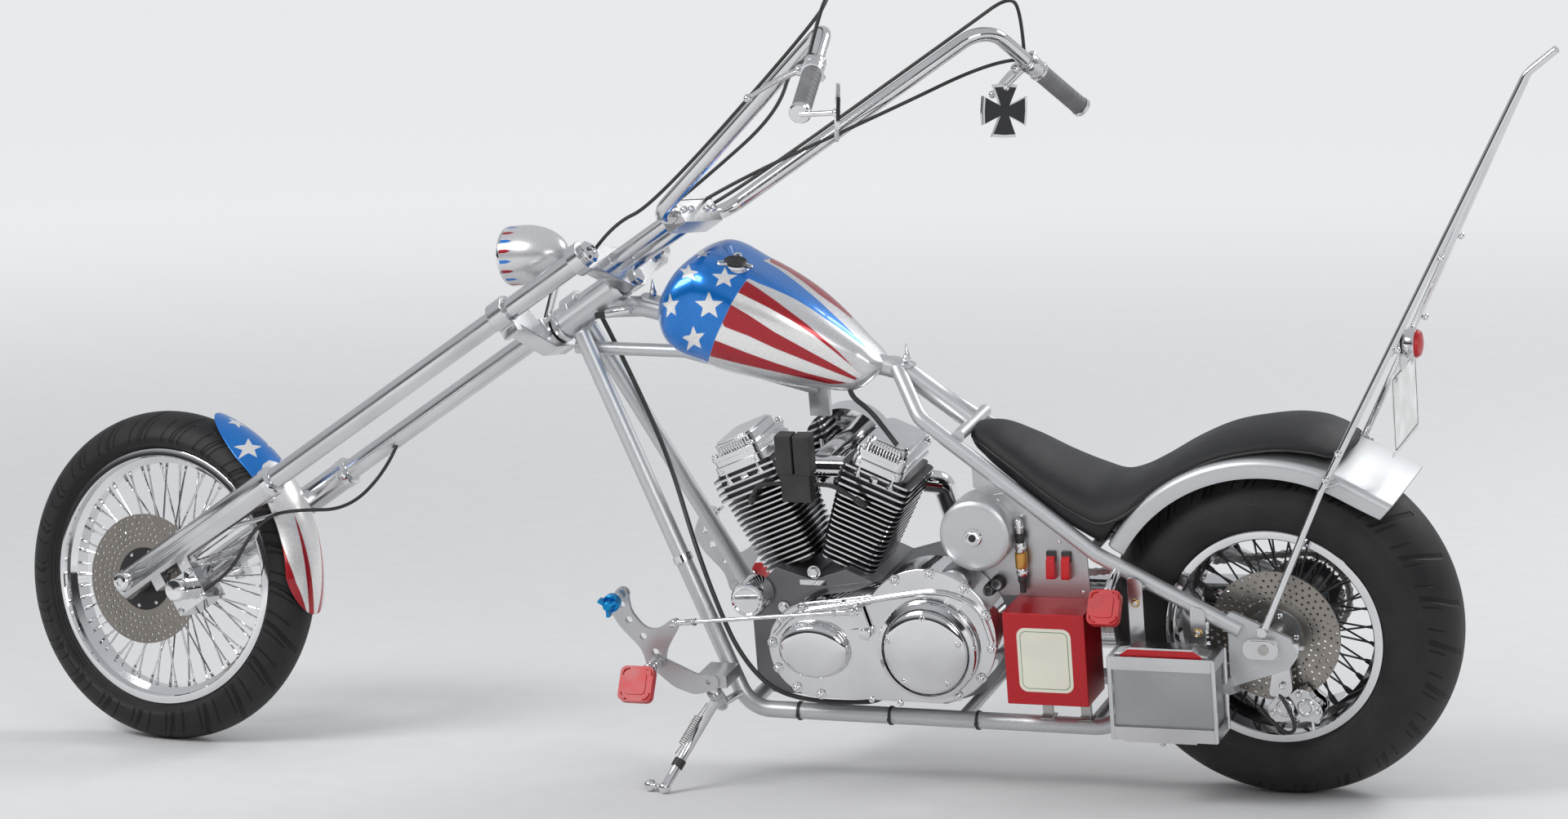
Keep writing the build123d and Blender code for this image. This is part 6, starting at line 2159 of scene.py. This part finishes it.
class CHOPPER_OT_stage(bpy.types.Operator):
    """Makes the camera, the pale floor and the soft lamps"""

    bl_idname = "chopper.stage"
    bl_label = "Stage"

    def execute(self, context):
        settings = context.scene.chopper_stage
        scene = context.scene
        scene.view_settings.view_transform = "Standard"
        data = bpy.data.cameras.new("photo_camera")
        data.lens = settings.focal
        data.sensor_width = SENSOR
        data.clip_end = 200.0
        camera = new_object("photo_camera", data)
        forward, image_right, image_up = camera_axes()
        position = REAR_HUB + CAMERA_FROM_HUB
        turn = np.stack([image_right, image_up, -forward], 1)
        camera.matrix_world = Matrix.Translation(Vector(position)) @ Matrix(turn.tolist()).to_4x4()
        scene.camera = camera

        floor_shader = Shader("pale_floor")
        floor_tone = settings.floor_grey
        speckle = floor_shader.noise(14.0, 5.0)
        floor_shader.set(
            Base_Color=floor_shader.mix(
                floor_shader.ramp(speckle, 0.3, 0.7), colour(*[floor_tone] * 3),
                colour(*[floor_tone * 0.97] * 3)),
            Roughness=0.8)
        reach = floor_shader.node("ShaderNodeVectorMath", operation="LENGTH")
        floor_shader.link(floor_shader.place(), reach.inputs[0])
        seen = floor_shader.node("ShaderNodeLightPath")
        shows = floor_shader.math("MAXIMUM", seen.outputs["Is Camera Ray"],
                                  seen.outputs["Is Glossy Ray"])
        shows = floor_shader.math("MAXIMUM", shows, seen.outputs["Is Transmission Ray"])
        glow = floor_shader.ramp(reach.outputs["Value"], 2.0, 12.0, 0.0, 0.42, True)
        floor_shader.set(Emission_Color=colour(1.0, 1.0, 1.0),
                         Emission_Strength=floor_shader.times(shows, glow))
        size = 60.0
        corners = np.array([[-size, -size, 0], [size, -size, 0], [size, size, 0],
                            [-size, size, 0]])
        floor = new_mesh("floor", corners, [(0, 1, 2, 3)], (floor_shader.material,))

        world = bpy.data.worlds.new("studio")
        world.use_nodes = True
        scene.world = world
        world.node_tree.nodes.clear()
        sky = Nodes(world.node_tree)
        split = sky.node("ShaderNodeSeparateXYZ")
        sky.link(sky.node("ShaderNodeTexCoord").outputs["Generated"], split.inputs[0])
        pale = sky.math("MAXIMUM", sky.ramp(split.outputs["Z"], 0.10, 0.42, smooth=True),
                        sky.ramp(split.outputs["Y"], 0.0, 0.5, smooth=True))
        tone = sky.mix(pale, colour(0.07, 0.07, 0.075), colour(0.86, 0.88, 0.92))
        background = sky.node("ShaderNodeBackground")
        sky.feed(background.inputs, (tone, 0.62))
        sky.link(background.outputs[0], sky.node("ShaderNodeOutputWorld").inputs[0])

        lamps = (
            ("key", (-3.5, -4.5, 5.0), 3.2, 1.0),
            ("rim", (3.5, 4.0, 4.5), 3.0, 0.55),
            ("fill", (4.5, -5.5, 2.5), 3.0, 0.35),
        )
        target = Vector((0, 0, 0.5))
        for name, spot, width, share in lamps:
            light = bpy.data.lights.new(name, "AREA")
            light.shape = "RECTANGLE"
            light.size = width
            light.size_y = width * 0.6
            light.energy = settings.lamp_power * share
            lamp = new_object(name, light)
            lamp.location = spot
            lamp.rotation_euler = (target - Vector(spot)).to_track_quat("-Z", "Y").to_euler()
        return {"FINISHED"}


class CHOPPER_OT_nodes(bpy.types.Operator):
    """Gives every shown CAD node its finish"""

    bl_idname = "chopper.nodes"
    bl_label = "Frame pieces"

    def execute(self, context):
        finishes = {node: name for name, nodes in NODE_FINISH.items() for node in nodes}
        for node in sorted(finishes):
            merged_copy(node, finish(finishes[node]), NODE_EDGES.get(node, 0.0) * MM)
        return {"FINISHED"}


class CHOPPER_PT_panel(bpy.types.Panel):
    """Buttons for the chopper's pieces"""

    bl_idname = "CHOPPER_PT_panel"
    bl_label = "Chopper"
    bl_space_type = "VIEW_3D"
    bl_region_type = "UI"
    bl_category = "Chopper"

    def draw(self, context):
        for operator in OPERATORS:
            self.layout.operator(operator.bl_idname)


GROUPS = {
    "chopper_stage": ChopperStage, "chopper_wheels": ChopperWheels,
    "chopper_tank": ChopperTank, "chopper_fenders": ChopperFenders,
    "chopper_seat": ChopperSeat, "chopper_headlight": ChopperHeadlight,
    "chopper_engine": ChopperEngine, "chopper_boxes": ChopperBoxes,
    "chopper_controls": ChopperControls, "chopper_running": ChopperRunning,
}
OPERATORS = (
    CHOPPER_OT_stage, CHOPPER_OT_wheels, CHOPPER_OT_tank, CHOPPER_OT_fenders, CHOPPER_OT_seat,
    CHOPPER_OT_headlight, CHOPPER_OT_engine, CHOPPER_OT_boxes, CHOPPER_OT_controls,
    CHOPPER_OT_running, CHOPPER_OT_nodes,
)


def register():
    for group in GROUPS.values():
        bpy.utils.register_class(group)
    for name, group in GROUPS.items():
        setattr(bpy.types.Scene, name, bpy.props.PointerProperty(type=group))
    for operator in OPERATORS:
        bpy.utils.register_class(operator)
    bpy.utils.register_class(CHOPPER_PT_panel)


def unregister():
    bpy.utils.unregister_class(CHOPPER_PT_panel)
    for operator in reversed(OPERATORS):
        bpy.utils.unregister_class(operator)
    for name, group in GROUPS.items():
        delattr(bpy.types.Scene, name)
        bpy.utils.unregister_class(group)


def main():
    register()
    for operator in OPERATORS:
        group, call = operator.bl_idname.split(".")
        getattr(getattr(bpy.ops, group), call)()


if __name__ == "__main__":
    main()
